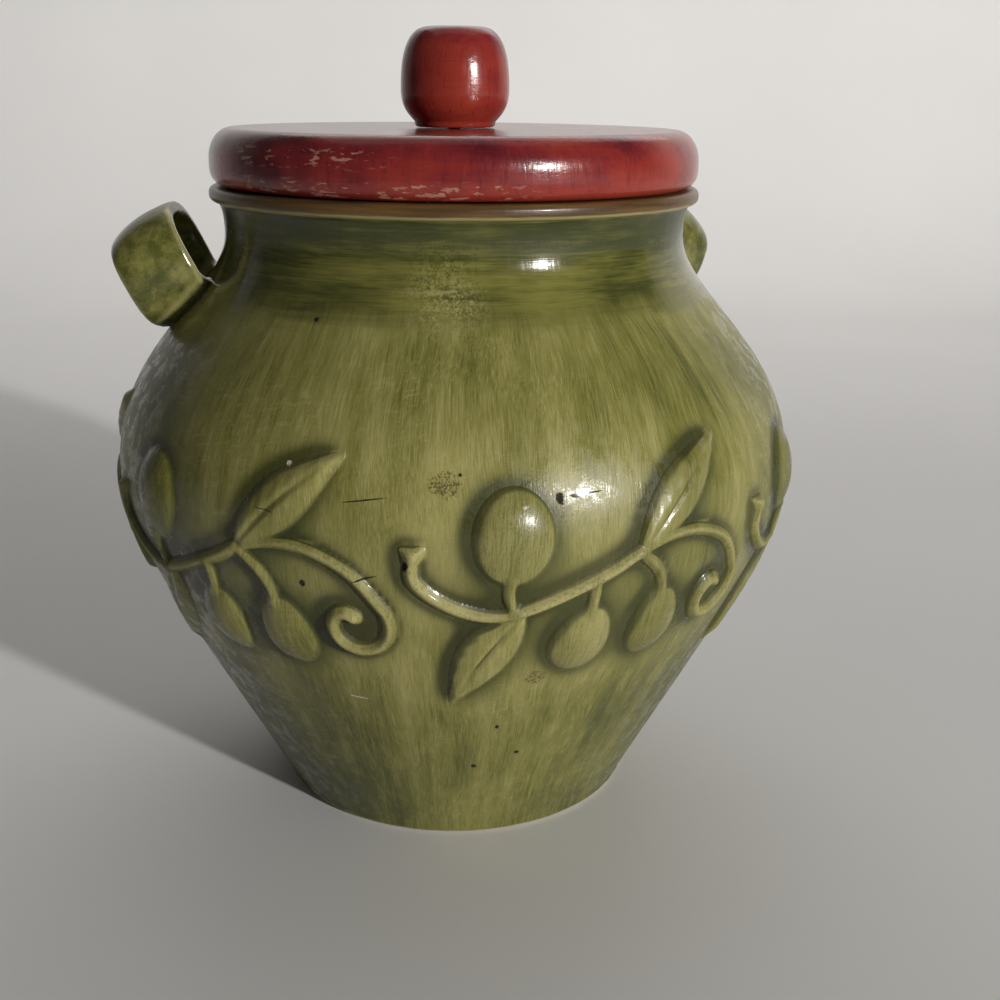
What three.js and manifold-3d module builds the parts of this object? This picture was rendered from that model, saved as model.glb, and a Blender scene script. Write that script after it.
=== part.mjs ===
// Kitchen canister: a bellied glazed jar with two loop handles and a band of raised olive sprays,
// closed by a turned wooden lid with a ball knob.
// Millimetres, +Z up, origin at the centre of the foot, and the front looks along -Y.

import * as THREE from 'three';
import { mergeVertices } from 'three/addons/utils/BufferGeometryUtils.js';
import Module from 'manifold-3d';

// Gap left between pieces that sit on or in one another
const SEAT_GAP = 0.3;

// Jar foot: a standing ring round a shallow recess
const FOOT_RADIUS = 58.3;
const FOOT_EDGE = 3.3;
const FOOT_RING_WIDTH = 8;
const FOOT_RECESS = 2.5;
const FLOOR = 6.5;
const FLOOR_ROUND = 9;

// Jar wall: a flare up to the belly, then a shoulder in to the neck
const WALL = 6.4;
const FLARE_OUT = 32.6;
const FLARE_UP = 62.2;
const BELLY_RADIUS = 105.8;
const BELLY_HEIGHT = 110;
const BELLY_HOLD_BELOW = 20;
const BELLY_HOLD_ABOVE = 35.5;
const SHOULDER_RISE = 70.2;
const NECK_RADIUS = 70.4;
const NECK_HOLD = 19.4;

// Jar lip: the neck flares a little, then a rounded band carries the lid
const NECK_RISE = 8.6;
const NECK_FLARE = 1.8;
const LIP_STEP = 2.3;
const LIP_HEIGHT = 4.4;
const LIP_ROUND = 1.8;

// Loop handles: a wide strap bent to a loop, seated on the shoulder and leaning outwards
const HANDLE_ANGLES = { handle_left: -86, handle_right: 131 };
const HANDLE_SEAT_SHARE = 0.6;
const HANDLE_SINK = 2.5;
const HANDLE_LEAN = 64;
const HANDLE_SPAN = 44;
const HANDLE_RISE = 32;
const HANDLE_WIDTH = 21;
const HANDLE_THICKNESS = 4.5;
const HANDLE_EDGE = 1.4;
const HANDLE_SQUARENESS_RATIO = 2.8;

// Olive sprays: equal copies round the belly, drawn flat and wrapped on to the wall
const SPRAY_COUNT = 6;
const SPRAY_TURN = 27;
const STEM_RADIUS = 2;
const STEM_LIFT = 0.7;
const STALK_RADIUS = 1.6;
const OLIVE_LIFT = 3.2;
const LEAF_LIFT = 2.6;
const LEAF_HALF_WIDTH = 6.2;
const LEAF_FULLNESS_RATIO = 0.85;
const VEIN_WIDTH = 1.3;
const VEIN_DEPTH_RATIO = 0.45;
const CURL_RADIUS = 8.8;
const CURL_END_RADIUS = 2.2;
const CURL_START = 35;
const CURL_SWEEP = 281;
const CURL_EASE_RATIO = 5;

// Drawing of one spray: each place is a share of the pitch round the belly, counted from the fork, and a
// rise from the belly line, and rises, widths and lengths are in drawing units
const DRAWING_UNIT = 1;
const FORK = [0, -3.5];
const STEM_ROUTE = [[-0.55, 1], [-0.545, -8], [-0.44, -16.3], [-0.31, -17.7], [-0.1, -9], FORK];
const TENDRIL_ROUTE = [FORK, [0.1, -0.5], [0.2, -1.2], [0.3, -6.5]];
const CURL_CENTRE = [0.307, -21.5];
const OLIVES = [
  { place: [-0.312, 5.6], width: 20.8, length: 26.6, tilt: 0, stalk: [[-0.31, -17.7], [-0.305, -12]] },
  { place: [-0.115, -27], width: 19.2, length: 22.6, tilt: -12, stalk: [[-0.11, -9.5], [-0.105, -14]] },
  { place: [0.095, -27], width: 18, length: 23, tilt: 6, stalk: [[0.01, -4], [0.06, -9], [0.085, -14]] },
];
const LEAVES = [
  { root: FORK, tip: [0.275, 24] },
  { root: [-0.285, -17], tip: [-0.465, -49] },
];

// Wooden lid: a round-edged board over a plug that carries the seal
const LID_THICKNESS = 16.4;
const LID_SETBACK = 0.5;
const LID_EDGE_UNDER = 4;
const LID_EDGE_OVER = 6.8;
const LID_EDGE_LOW = 5;
const LID_EDGE_HIGH = 9;
const PLUG_HEIGHT = 12;
const PLUG_CLEARANCE = 3;
const SEAL_HEIGHT = 6;
const SEAL_SEAT = 2.5;
const SEAL_FIN = 1.2;
const SEAL_LIP = 0.8;

// Turned knob and the screw that holds it from below
const KNOB_RADIUS = 16.4;
const KNOB_HEIGHT = 28.7;
const KNOB_WIDEST = 10.5;
const KNOB_BASE_RADIUS = 12.3;
const KNOB_FOOT = 1.6;
const KNOB_SWELL = 2;
const KNOB_SHOULDER = 19.5;
const KNOB_SHOULDER_RADIUS = 15.8;
const KNOB_TOP_RADIUS = 7.5;
const SCREW_RADIUS = 2;
const SCREW_HEAD_RADIUS = 4.2;
const SCREW_HEAD_HEIGHT = 2.6;
const SCREW_RECESS = 0.6;
const SCREW_BITE = 14;
const SCREW_POINT = 4;

// Facets
const ROUND_SEGMENTS = 48;
const KNOB_SEGMENTS = 24;
const SCREW_SEGMENTS = 16;
const WALL_STEPS = 8;
const LINING_STEPS = 5;
const EDGE_STEPS = 2;
const KNOB_STEPS = 6;
const TUBE_HALF_SIDES = 3;
const TUBE_STEP = 8;
const CURL_STEP = 5;
const CURL_POINTS = 8;
const OLIVE_FACETS = [8, 6];
const LEAF_FACETS = [6, 6];
const HANDLE_FACETS = 24;

// Points closer than these are one point
const WELD = 1e-4;
const SAME_POINT = 1e-6;

// Heights and radii that follow from the sizes above
const neckHeight = BELLY_HEIGHT + SHOULDER_RISE;
const lipHeight = neckHeight + NECK_RISE;
const rimHeight = lipHeight + LIP_HEIGHT;
const lipRadius = NECK_RADIUS + NECK_FLARE + LIP_STEP;
const mouthRadius = NECK_RADIUS - WALL;
const floorHeight = FOOT_RECESS + FLOOR;
const lidRadius = lipRadius - LID_SETBACK;
const boardBase = rimHeight + SEAT_GAP;
const boardTop = boardBase + LID_THICKNESS;
const plugTop = boardBase - SEAT_GAP;
const plugBase = plugTop - PLUG_HEIGHT;
const plugRadius = mouthRadius - PLUG_CLEARANCE;
const grooveRadius = plugRadius - SEAL_SEAT;
const sealBase = plugBase + (PLUG_HEIGHT - SEAL_HEIGHT) / 2;
const sealTop = sealBase + SEAL_HEIGHT;
const knobBase = boardTop + SEAT_GAP;
const knobTop = knobBase + KNOB_HEIGHT;
const screwBase = plugBase + SCREW_RECESS;
const screwTip = knobBase + SCREW_BITE;
const boreRadius = SCREW_RADIUS + SEAT_GAP;
const sprayPitch = 2 * Math.PI / SPRAY_COUNT;

const wasm = await Module();
wasm.setup();

const at = (x, y) => new THREE.Vector2(x, y);

// A closed geometry as a solid that can be joined and cut
function solidOf(geometry) {
  const bare = geometry.clone();
  bare.deleteAttribute('normal');
  bare.deleteAttribute('uv');
  const merged = mergeVertices(bare, WELD);
  const triangles = [];
  const index = merged.index.array;
  for (let i = 0; i < index.length; i += 3) {
    const [a, b, c] = index.slice(i, i + 3);
    if (a !== b && b !== c && c !== a) triangles.push(a, b, c);
  }
  return new wasm.Manifold(new wasm.Mesh({
    numProp: 3,
    vertProperties: merged.attributes.position.array,
    triVerts: new Uint32Array(triangles),
  }));
}

// A solid as a geometry for a mesh
function geometryOf(solid) {
  const { vertProperties, triVerts } = solid.getMesh();
  const geometry = new THREE.BufferGeometry();
  geometry.setAttribute('position', new THREE.BufferAttribute(vertProperties, 3));
  geometry.setIndex(new THREE.BufferAttribute(triVerts, 1));
  geometry.computeVertexNormals();
  return geometry;
}

// Turns a profile of radius and height about the vertical axis
function turned(profile, segments) {
  return solidOf(new THREE.LatheGeometry(profile, segments).rotateX(Math.PI / 2));
}

// Joins runs of points end to end, without the point that two runs share
function chain(...runs) {
  const line = [];
  for (const point of runs.flat()) {
    if (!line.length || line.at(-1).distanceTo(point) > SAME_POINT) line.push(point);
  }
  return line;
}

// Quarter of an ellipse between two points, leaving the first one towards the corner
function rounded(from, corner, to, steps = EDGE_STEPS) {
  const line = [];
  for (let i = 0; i <= steps; i += 1) {
    const angle = i / steps * Math.PI / 2;
    line.push(corner.clone()
      .addScaledVector(from.clone().sub(corner), 1 - Math.sin(angle))
      .addScaledVector(to.clone().sub(corner), 1 - Math.cos(angle)));
  }
  return line;
}

const flare = new THREE.CubicBezierCurve(
  at(FOOT_RADIUS, FOOT_EDGE),
  at(FOOT_RADIUS + FLARE_OUT, FOOT_EDGE + FLARE_UP),
  at(BELLY_RADIUS, BELLY_HEIGHT - BELLY_HOLD_BELOW),
  at(BELLY_RADIUS, BELLY_HEIGHT),
);
const shoulder = new THREE.CubicBezierCurve(
  at(BELLY_RADIUS, BELLY_HEIGHT),
  at(BELLY_RADIUS, BELLY_HEIGHT + BELLY_HOLD_ABOVE),
  at(NECK_RADIUS, neckHeight - NECK_HOLD),
  at(NECK_RADIUS, neckHeight),
);

// The jar's wall from foot to neck, at a distance outside its glazed face
function wall(steps, distance) {
  return chain(...[flare, shoulder].map((curve) => curve.getPoints(steps).map((point, i) => {
    const along = curve.getTangent(i / steps);
    return at(point.x + along.y * distance, point.y - along.x * distance);
  })));
}

const wallLine = wall(WALL_STEPS, 0);
const liningLine = wall(LINING_STEPS, -WALL);

// Place on a rising line at a height, with the line's direction there
function lineAt(line, height) {
  const i = Math.max(1, line.findIndex((point, n) => n > 0 && point.y >= height));
  const below = line[i - 1];
  const above = line[i];
  const share = (height - below.y) / (above.y - below.y);
  return { place: below.clone().lerp(above, share), along: above.clone().sub(below).normalize() };
}

function jarBody() {
  const ringInside = FOOT_RADIUS - FOOT_EDGE - FOOT_RING_WIDTH;
  const foot = [
    at(0, FOOT_RECESS),
    at(ringInside - FOOT_RECESS, FOOT_RECESS),
    at(ringInside, 0),
    ...rounded(at(FOOT_RADIUS - FOOT_EDGE, 0), at(FOOT_RADIUS, 0), at(FOOT_RADIUS, FOOT_EDGE)),
  ];
  const neck = new THREE.QuadraticBezierCurve(
    at(NECK_RADIUS, neckHeight),
    at(NECK_RADIUS, lipHeight - NECK_FLARE),
    at(NECK_RADIUS + NECK_FLARE, lipHeight),
  ).getPoints(EDGE_STEPS);
  const bandTop = rimHeight - LIP_ROUND;
  const rim = [
    ...rounded(neck.at(-1), at(lipRadius, lipHeight), at(lipRadius, lipHeight + LIP_ROUND)),
    ...rounded(at(lipRadius, bandTop), at(lipRadius, rimHeight), at(lipRadius - LIP_ROUND, rimHeight)),
    ...rounded(at(mouthRadius + LIP_ROUND, rimHeight), at(mouthRadius, rimHeight), at(mouthRadius, bandTop)),
  ];
  const roundTop = floorHeight + FLOOR_ROUND;
  const inside = liningLine.filter((point) => point.y > roundTop).reverse();
  const corner = lineAt(liningLine, floorHeight).place;
  const basin = [
    ...rounded(lineAt(liningLine, roundTop).place, corner, at(corner.x - FLOOR_ROUND, floorHeight)),
    at(0, floorHeight),
  ];
  return turned(chain(foot, wallLine, neck, rim, inside, basin), ROUND_SEGMENTS);
}

// The jar's outside, one seat gap larger, which everything luted on to the wall is cut back to
function jarSeat() {
  const line = wall(WALL_STEPS, SEAT_GAP);
  return turned([at(0, line[0].y), ...line, at(0, line.at(-1).y)], ROUND_SEGMENTS);
}

// Bends a flat drawing on to the wall: x runs round the belly, y up and z outwards
function wrapped(geometry, turn) {
  const position = geometry.attributes.position;
  for (let i = 0; i < position.count; i += 1) {
    const { place, along } = lineAt(wallLine, position.getY(i));
    const lift = position.getZ(i);
    const reach = place.x + along.y * lift;
    const angle = turn + position.getX(i) / BELLY_RADIUS;
    position.setXYZ(i, reach * Math.sin(angle), -reach * Math.cos(angle), place.y - along.x * lift);
  }
  return solidOf(geometry);
}

// A point of the flat drawing
function spot([share, rise], lift = 0) {
  return new THREE.Vector3(share * sprayPitch * BELLY_RADIUS, BELLY_HEIGHT + rise * DRAWING_UNIT, lift);
}

// A round stem through points of the flat drawing
function vine(points, radius, step = TUBE_STEP) {
  const path = new THREE.CatmullRomCurve3(points);
  const section = new THREE.Shape().absarc(0, 0, radius, 0, 2 * Math.PI);
  return new THREE.ExtrudeGeometry(section, {
    steps: Math.max(2, Math.round(path.getLength() / step)),
    curveSegments: TUBE_HALF_SIDES,
    extrudePath: path,
  });
}

const onStem = (place) => spot(place, STEM_LIFT);

// The tendril's spiral end, which tightens towards its tip
function curl() {
  const points = [];
  for (let i = 0; i <= CURL_POINTS; i += 1) {
    const share = i / CURL_POINTS;
    const angle = THREE.MathUtils.degToRad(CURL_START - CURL_SWEEP * share);
    const radius = THREE.MathUtils.lerp(CURL_RADIUS, CURL_END_RADIUS, share ** CURL_EASE_RATIO);
    points.push(onStem(CURL_CENTRE).add(new THREE.Vector3(Math.cos(angle), Math.sin(angle), 0)
      .multiplyScalar(radius)));
  }
  return points;
}

function olive({ place, width, length, tilt }) {
  return new THREE.SphereGeometry(1, ...OLIVE_FACETS)
    .scale(width / 2 * DRAWING_UNIT, length / 2 * DRAWING_UNIT, OLIVE_LIFT)
    .rotateZ(THREE.MathUtils.degToRad(tilt))
    .translate(...spot(place));
}

// A pointed leaf, lens-shaped across, with the vein sunk along its middle
function leaf({ root, tip }) {
  const along = spot(tip).sub(spot(root));
  const [points, sides] = LEAF_FACETS;
  const profile = [];
  for (let i = 0; i <= points; i += 1) {
    const share = i / points;
    const halfWidth = LEAF_HALF_WIDTH * Math.sin(Math.PI * share ** LEAF_FULLNESS_RATIO);
    profile.push(at(i % points ? halfWidth : 0, along.length() * share));
  }
  const blade = new THREE.LatheGeometry(profile, sides).scale(1, 1, LEAF_LIFT / LEAF_HALF_WIDTH);
  const position = blade.attributes.position;
  for (let i = 0; i < position.count; i += 1) {
    const vein = 1 - VEIN_DEPTH_RATIO * Math.exp(-((position.getX(i) / VEIN_WIDTH) ** 2));
    position.setZ(i, position.getZ(i) * vein);
  }
  return blade.rotateZ(Math.atan2(-along.x, along.y)).translate(...spot(root));
}

function oliveSpray(turn, seat) {
  const spiral = curl();
  const pieces = [
    vine(STEM_ROUTE.map(onStem), STEM_RADIUS),
    vine([...TENDRIL_ROUTE.map(onStem), spiral[0]], STEM_RADIUS),
    vine(spiral, STEM_RADIUS, CURL_STEP),
    ...OLIVES.map(({ stalk, place }) => vine([...stalk, place].map(onStem), STALK_RADIUS)),
    ...OLIVES.map(olive),
    ...LEAVES.map(leaf),
  ];
  return pieces
    .map((piece) => wrapped(piece, turn))
    .reduce((whole, piece) => whole.add(piece))
    .subtract(seat);
}

// Outline of a loop with flattened sides
function loopOutline(halfSpan, halfRise) {
  const points = [];
  for (let i = 0; i < HANDLE_FACETS; i += 1) {
    const angle = i / HANDLE_FACETS * 2 * Math.PI;
    const ray = at(Math.cos(angle), Math.sin(angle));
    const reach = Math.abs(ray.x) ** HANDLE_SQUARENESS_RATIO + Math.abs(ray.y) ** HANDLE_SQUARENESS_RATIO;
    points.push(ray.multiply(at(halfSpan, halfRise)).divideScalar(reach ** (1 / HANDLE_SQUARENESS_RATIO)));
  }
  return points;
}

function loopHandle(degrees, seat) {
  const strap = new THREE.Shape(loopOutline(HANDLE_SPAN / 2, HANDLE_RISE / 2));
  strap.holes.push(new THREE.Path(
    loopOutline(HANDLE_SPAN / 2 - HANDLE_THICKNESS, HANDLE_RISE / 2 - HANDLE_THICKNESS),
  ));
  const loop = new THREE.ExtrudeGeometry(strap, {
    depth: HANDLE_WIDTH - 2 * HANDLE_EDGE,
    bevelThickness: HANDLE_EDGE,
    bevelSize: HANDLE_EDGE,
    bevelOffset: -HANDLE_EDGE,
    bevelSegments: 1,
  }).translate(0, 0, HANDLE_EDGE - HANDLE_WIDTH / 2);
  const angle = THREE.MathUtils.degToRad(degrees);
  const lean = THREE.MathUtils.degToRad(HANDLE_LEAN);
  const outward = new THREE.Vector3(Math.sin(angle), -Math.cos(angle), 0);
  const sideways = new THREE.Vector3(Math.cos(angle), Math.sin(angle), 0);
  const rise = new THREE.Vector3(0, 0, Math.sin(lean)).addScaledVector(outward, Math.cos(lean));
  const foot = shoulder.getPoint(HANDLE_SEAT_SHARE);
  const centre = new THREE.Vector3(0, 0, foot.y)
    .addScaledVector(outward, foot.x)
    .addScaledVector(rise, HANDLE_RISE / 2 - HANDLE_SINK);
  const place = new THREE.Matrix4()
    .makeBasis(sideways, rise, sideways.clone().cross(rise))
    .setPosition(centre);
  return solidOf(loop.applyMatrix4(place)).subtract(seat);
}

function lidBoard() {
  const edgeLow = at(lidRadius, boardBase + LID_EDGE_LOW);
  const edgeHigh = at(lidRadius, boardTop - LID_EDGE_HIGH);
  return turned(chain(
    [at(boreRadius, boardBase)],
    rounded(at(lidRadius - LID_EDGE_UNDER, boardBase), at(lidRadius, boardBase), edgeLow),
    rounded(edgeHigh, at(lidRadius, boardTop), at(lidRadius - LID_EDGE_OVER, boardTop)),
    [at(boreRadius, boardTop), at(boreRadius, boardBase)],
  ), ROUND_SEGMENTS);
}

function lidPlug() {
  const sinkRadius = SCREW_HEAD_RADIUS + SEAT_GAP;
  const sinkTop = screwBase + SCREW_HEAD_HEIGHT + SEAT_GAP;
  return turned([
    at(sinkRadius, plugBase),
    at(plugRadius, plugBase),
    at(plugRadius, sealBase - SEAT_GAP),
    at(grooveRadius, sealBase - SEAT_GAP),
    at(grooveRadius, sealTop + SEAT_GAP),
    at(plugRadius, sealTop + SEAT_GAP),
    at(plugRadius, plugTop),
    at(boreRadius, plugTop),
    at(boreRadius, sinkTop),
    at(sinkRadius, screwBase),
    at(sinkRadius, plugBase),
  ], ROUND_SEGMENTS);
}

// The seal grips the plug's groove, and its two fins wipe the mouth of the jar
function sealRing() {
  const inner = grooveRadius + SEAT_GAP;
  const body = plugRadius + SEAL_LIP;
  const fin = mouthRadius - SEAT_GAP;
  return turned([
    at(inner, sealBase),
    at(fin, sealBase),
    at(fin, sealBase + SEAL_FIN),
    at(body, sealBase + SEAL_FIN),
    at(body, sealTop - SEAL_FIN),
    at(fin, sealTop - SEAL_FIN),
    at(fin, sealTop),
    at(inner, sealTop),
    at(inner, sealBase),
  ], ROUND_SEGMENTS);
}

function ballKnob() {
  const widest = knobBase + KNOB_WIDEST;
  const shoulder = at(KNOB_SHOULDER_RADIUS, knobBase + KNOB_SHOULDER);
  const boreTop = screwTip + SEAT_GAP;
  const footTop = knobBase + KNOB_FOOT;
  const under = new THREE.CubicBezierCurve(
    at(KNOB_BASE_RADIUS, footTop),
    at(KNOB_BASE_RADIUS + KNOB_SWELL, footTop + KNOB_SWELL),
    at(KNOB_RADIUS, (footTop + widest) / 2),
    at(KNOB_RADIUS, widest),
  ).getPoints(KNOB_STEPS);
  return turned(chain(
    [at(0, boreTop), at(boreRadius, boreTop), at(boreRadius, knobBase), at(KNOB_BASE_RADIUS, knobBase)],
    under,
    rounded(shoulder, at(shoulder.x, knobTop), at(KNOB_TOP_RADIUS, knobTop), KNOB_STEPS),
    [at(0, knobTop)],
  ), KNOB_SEGMENTS);
}

function knobScrew() {
  return turned([
    at(0, screwBase),
    at(SCREW_HEAD_RADIUS, screwBase),
    at(SCREW_RADIUS, screwBase + SCREW_HEAD_HEIGHT),
    at(SCREW_RADIUS, screwTip - SCREW_POINT),
    at(0, screwTip),
  ], SCREW_SEGMENTS);
}

const glaze = new THREE.MeshStandardMaterial({ color: 0x76743a, roughness: 0.22, metalness: 0 });
const stainedWood = new THREE.MeshStandardMaterial({ color: 0x86261c, roughness: 0.3, metalness: 0 });
const silicone = new THREE.MeshStandardMaterial({ color: 0xd9d6cb, roughness: 0.5, metalness: 0 });
const steel = new THREE.MeshStandardMaterial({ color: 0xb4b4b8, roughness: 0.35, metalness: 1 });

const canister = new THREE.Group();

function addPiece(name, solid, material) {
  const mesh = new THREE.Mesh(geometryOf(solid), material);
  mesh.name = name;
  canister.add(mesh);
}

const seat = jarSeat();
addPiece('jar_body', jarBody(), glaze);
for (const [name, degrees] of Object.entries(HANDLE_ANGLES)) {
  addPiece(name, loopHandle(degrees, seat), glaze);
}
for (let i = 0; i < SPRAY_COUNT; i += 1) {
  const turn = THREE.MathUtils.degToRad(SPRAY_TURN) + i * sprayPitch;
  addPiece(`olive_spray_${i + 1}`, oliveSpray(turn, seat), glaze);
}
addPiece('lid_board', lidBoard(), stainedWood);
addPiece('lid_plug', lidPlug(), stainedWood);
addPiece('seal_ring', sealRing(), silicone);
addPiece('knob', ballKnob(), stainedWood);
addPiece('knob_screw', knobScrew(), steel);

export default canister;
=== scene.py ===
"""Looks of a kitchen canister.

A bellied glazed jar with raised olive sprays and two loop handles stands under a red-stained wooden lid
with a ball knob. Lengths are in millimetres until a mesh is made, and +Z is up.
"""

import math

import bmesh
import bpy
import numpy as np
from mathutils import Matrix, Vector


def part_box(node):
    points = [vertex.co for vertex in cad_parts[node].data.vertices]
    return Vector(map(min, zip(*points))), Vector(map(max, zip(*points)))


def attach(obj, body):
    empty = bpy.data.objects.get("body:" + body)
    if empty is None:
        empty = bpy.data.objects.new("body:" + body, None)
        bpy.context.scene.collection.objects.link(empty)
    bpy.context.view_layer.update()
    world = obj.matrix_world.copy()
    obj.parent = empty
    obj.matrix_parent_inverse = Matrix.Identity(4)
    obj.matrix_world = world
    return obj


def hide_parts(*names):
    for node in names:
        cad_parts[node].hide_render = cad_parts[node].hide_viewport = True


MM = 0.001

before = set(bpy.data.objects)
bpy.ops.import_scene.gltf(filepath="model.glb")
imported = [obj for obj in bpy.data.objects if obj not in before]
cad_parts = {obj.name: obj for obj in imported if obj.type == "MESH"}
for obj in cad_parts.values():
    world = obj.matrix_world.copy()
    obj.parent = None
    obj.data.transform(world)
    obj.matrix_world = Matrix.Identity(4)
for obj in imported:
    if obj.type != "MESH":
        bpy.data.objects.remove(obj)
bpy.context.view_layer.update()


def turned_box(node):
    """Bottom, top and radius of a round CAD node, in millimetres."""
    low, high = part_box(node)
    return low[2] / MM, high[2] / MM, high[0] / MM


# Sizes that the frame gives
_, rim_height, belly_radius = turned_box("jar_body")
board_base, board_top, lid_radius = turned_box("lid_board")
plug_base, plug_top, plug_radius = turned_box("lid_plug")
seal_base, seal_top, seal_radius = turned_box("seal_ring")
knob_base, knob_top, knob_radius = turned_box("knob")
screw_base, screw_tip, _ = turned_box("knob_screw")
spray_nodes = sorted(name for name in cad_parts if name.startswith("olive_spray"))

# Jar foot and floor
FOOT_RADIUS = 58.3
FOOT_EDGE = 3.3
FOOT_RING_WIDTH = 8
FOOT_RECESS = 2.5
FLOOR = 6.5
FLOOR_ROUND = 9

# Jar wall, neck and lip
WALL = 6.4
FLARE_OUT = 32.6
FLARE_UP = 62.2
BELLY_HEIGHT = 110
BELLY_HOLD_BELOW = 20
BELLY_HOLD_ABOVE = 35.5
SHOULDER_RISE = 70.2
NECK_RADIUS = 70.4
NECK_HOLD = 19.4
NECK_FLARE = 1.8
LIP_STEP = 2.3
LIP_HEIGHT = 4.4
LIP_ROUND = 1.8

# Loop handles
HANDLE_ANGLES = {"handle_left": -86, "handle_right": 131}
HANDLE_SEAT_SHARE = 0.6
HANDLE_SINK = 2.5
HANDLE_LEAN = 64
HANDLE_SPAN = 44
HANDLE_RISE = 32
HANDLE_WIDTH = 21
HANDLE_THICKNESS = 4.5
HANDLE_SQUARENESS = 2.8
STRAP_SQUARENESS = 4.5
HANDLE_CROWN = 3
CROWN_START = -0.3
STRAP_RIM = 0.86
# Glaze on the handles: pooled glaze and painted shade at the seam, worn rims, and a pale band that is partly
# thin glaze and partly a painted highlight
SEAM_REACH = 1.8
THIN_HEIGHT = 4
THIN_REACH = 2.2
RIM_WEAR = 0.75
THIN_AND_HIGHLIGHT = 0.5
CLAY_FILLET = 2.2
CLAY_FILLET_REACH = 5

# Olive sprays: stems, olives and leaves
SPRAY_TURN = 27
SPRAY_BACK = 1.5
STEM_RADIUS = 1.75
STEM_END_RADIUS = 3
STEM_END_SHARE = -0.5
STEM_END_STEPS = 14
STEM_CUT_RISE = 0.6
TENDRIL_ROOT_RADIUS = 1.1
TENDRIL_RADIUS = 2.1
CURL_RADIUS = 8.8
CURL_END_RADIUS = 2.2
CURL_START = 35
CURL_SWEEP = 281
CURL_EASE = 5
STALK_RADIUS = 1.4
STALK_INTO_OLIVE = 0.3
VINE_ROUNDNESS = 1.15
OLIVE_LIFT = 2.8
OLIVE_ROUNDNESS = 0.62
OLIVE_TAPER = 0.16
LEAF_LIFT = 2.0
LEAF_FULLNESS = 0.85
LEAF_EDGE = 2.4
LEAF_THIN_WIDTH = 2.5
LEAF_POINT = 0.05
VEIN_DEPTH = 0.9
VEIN_HALF_WIDTH = 0.75
VEIN_END = 0.9
VEIN_FADE = 3
SIDE_VEIN_DEPTH = 0.07
SIDE_VEIN_SLANT = 1.2
SIDE_VEINS = 7

# Clay and glaze of the sprays: how steeply heights fall off, how softly they meet, where glaze pools and
# where shade is painted beside the raised forms
VINE_SLOPE = 2.6
OLIVE_SLOPE = 1.1
LEAF_SLOPE = 1.3
JOIN_REACH = 1
OLIVE_JOIN_REACH = 2.6
FILLET_REACH = 2
CLAY_SOFTNESS = 0.45
EDGE_LIFT = 0.02
EDGE_SINK = 0.2
POOL_NEAR = 0.9
POOL_FAR = 2.8
POOL_BROAD = 6
# The drag moves the far pooling left and up: painted shade on the left sides of the raised forms, and glaze
# pooled above them
POOL_AND_SHADE_DRAG = (-1.6, 1.0)
POOL_CREST = 1.4
POOL_SHADE = 1.1

# Drawing of one spray: a share of the pitch round from the fork, and a rise from the belly line
FORK = (0, -3.5)
STEM_ROUTE = [(-0.55, 1), (-0.545, -8), (-0.44, -16.3), (-0.31, -17.7), (-0.1, -9), FORK]
TENDRIL_ROUTE = [FORK, (0.1, -0.5), (0.2, -1.2), (0.3, -6.5)]
CURL_CENTRE = (0.307, -21.5)
DRAWING_LOW = (-0.62, -58)
DRAWING_HIGH = (0.47, 32)
OLIVES = [
    {"place": (-0.317, 3.6), "width": 19.8, "length": 24.2, "tilt": 0, "taper": 0,
     "stalk": [(-0.31, -17.7), (-0.325, -12)]},
    {"place": (-0.12, -28.4), "width": 17.8, "length": 20.6, "tilt": -12, "taper": 1,
     "stalk": [(-0.11, -9.5), (-0.108, -15)]},
    {"place": (0.098, -27), "width": 16.8, "length": 21.6, "tilt": 6, "taper": 1,
     "stalk": [(0.01, -4), (0.06, -9), (0.085, -14)]},
]
LEAVES = [
    {"root": FORK, "tip": (0.277, 23.4), "half_width": 6.4, "bow": 1.6},
    {"root": (-0.285, -17), "tip": (-0.465, -49), "half_width": 7.4, "bow": -1.2},
]

# Wooden lid, seal, knob and screw
LID_EDGE_UNDER = 4
LID_EDGE_OVER = 6.8
LID_EDGE_LOW = 5
LID_EDGE_HIGH = 9
LID_BEVEL = 0.8
SEAT_GAP = 0.3
SEAL_SEAT = 2.5
SEAL_FIN = 1.2
SEAL_LIP = 0.8
KNOB_WIDEST = 10.5
KNOB_BASE_RADIUS = 12.3
KNOB_FOOT = 1.6
KNOB_SWELL = 2
KNOB_TOP_RADIUS = 7.5
KNOB_SQUARENESS = 2.5
SCREW_RADIUS = 2
SCREW_HEAD_RADIUS = 4.2
SCREW_HEAD_HEIGHT = 2.6
SCREW_POINT = 4
SCREW_BITE = 14
THREAD_PITCH = 1.6
THREAD_DEPTH = 0.35
CROSS_WIDTH = 1.1
CROSS_LENGTH = 5
CROSS_DEPTH = 1.3

# Fineness of the meshes
JAR_SEGMENTS = 400
LID_SEGMENTS = 256
KNOB_SEGMENTS = 128
SCREW_SEGMENTS = 50
FLARE_STEPS = 74
SHOULDER_STEPS = 56
LINING_STEPS = 24
EDGE_STEPS = 8
KNOB_STEPS = 32
FLAT_STEPS = 4
BOARD_STEPS = 6
UNDER_EDGE_STEPS = 12
OVER_EDGE_STEPS = 16
FIN_STEPS = 5
KNOB_SIDE_STEPS = 20
ROUTE_STEPS = 24
SEAT_STEPS = 100
LOOP_STEPS = 160
STRAP_STEPS = 40
THREAD_STEPS = 24
CREASE = 30
ROUND_CREASE = 40
CURL_STEPS = 46
CURL_STRIDE = 3
RELIEF_STEP = 0.4
WELD = 1e-6

# The photograph's camera, fitted to the jar: a square frame with the lens on its middle
LENS = 46.8
SENSOR = 36
CAMERA_PLACE = (0, -412.16, 221.84)
CAMERA_PITCH = 17.62
CAMERA_YAW = 2.05
CAMERA_ROLL = 0.54

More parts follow.
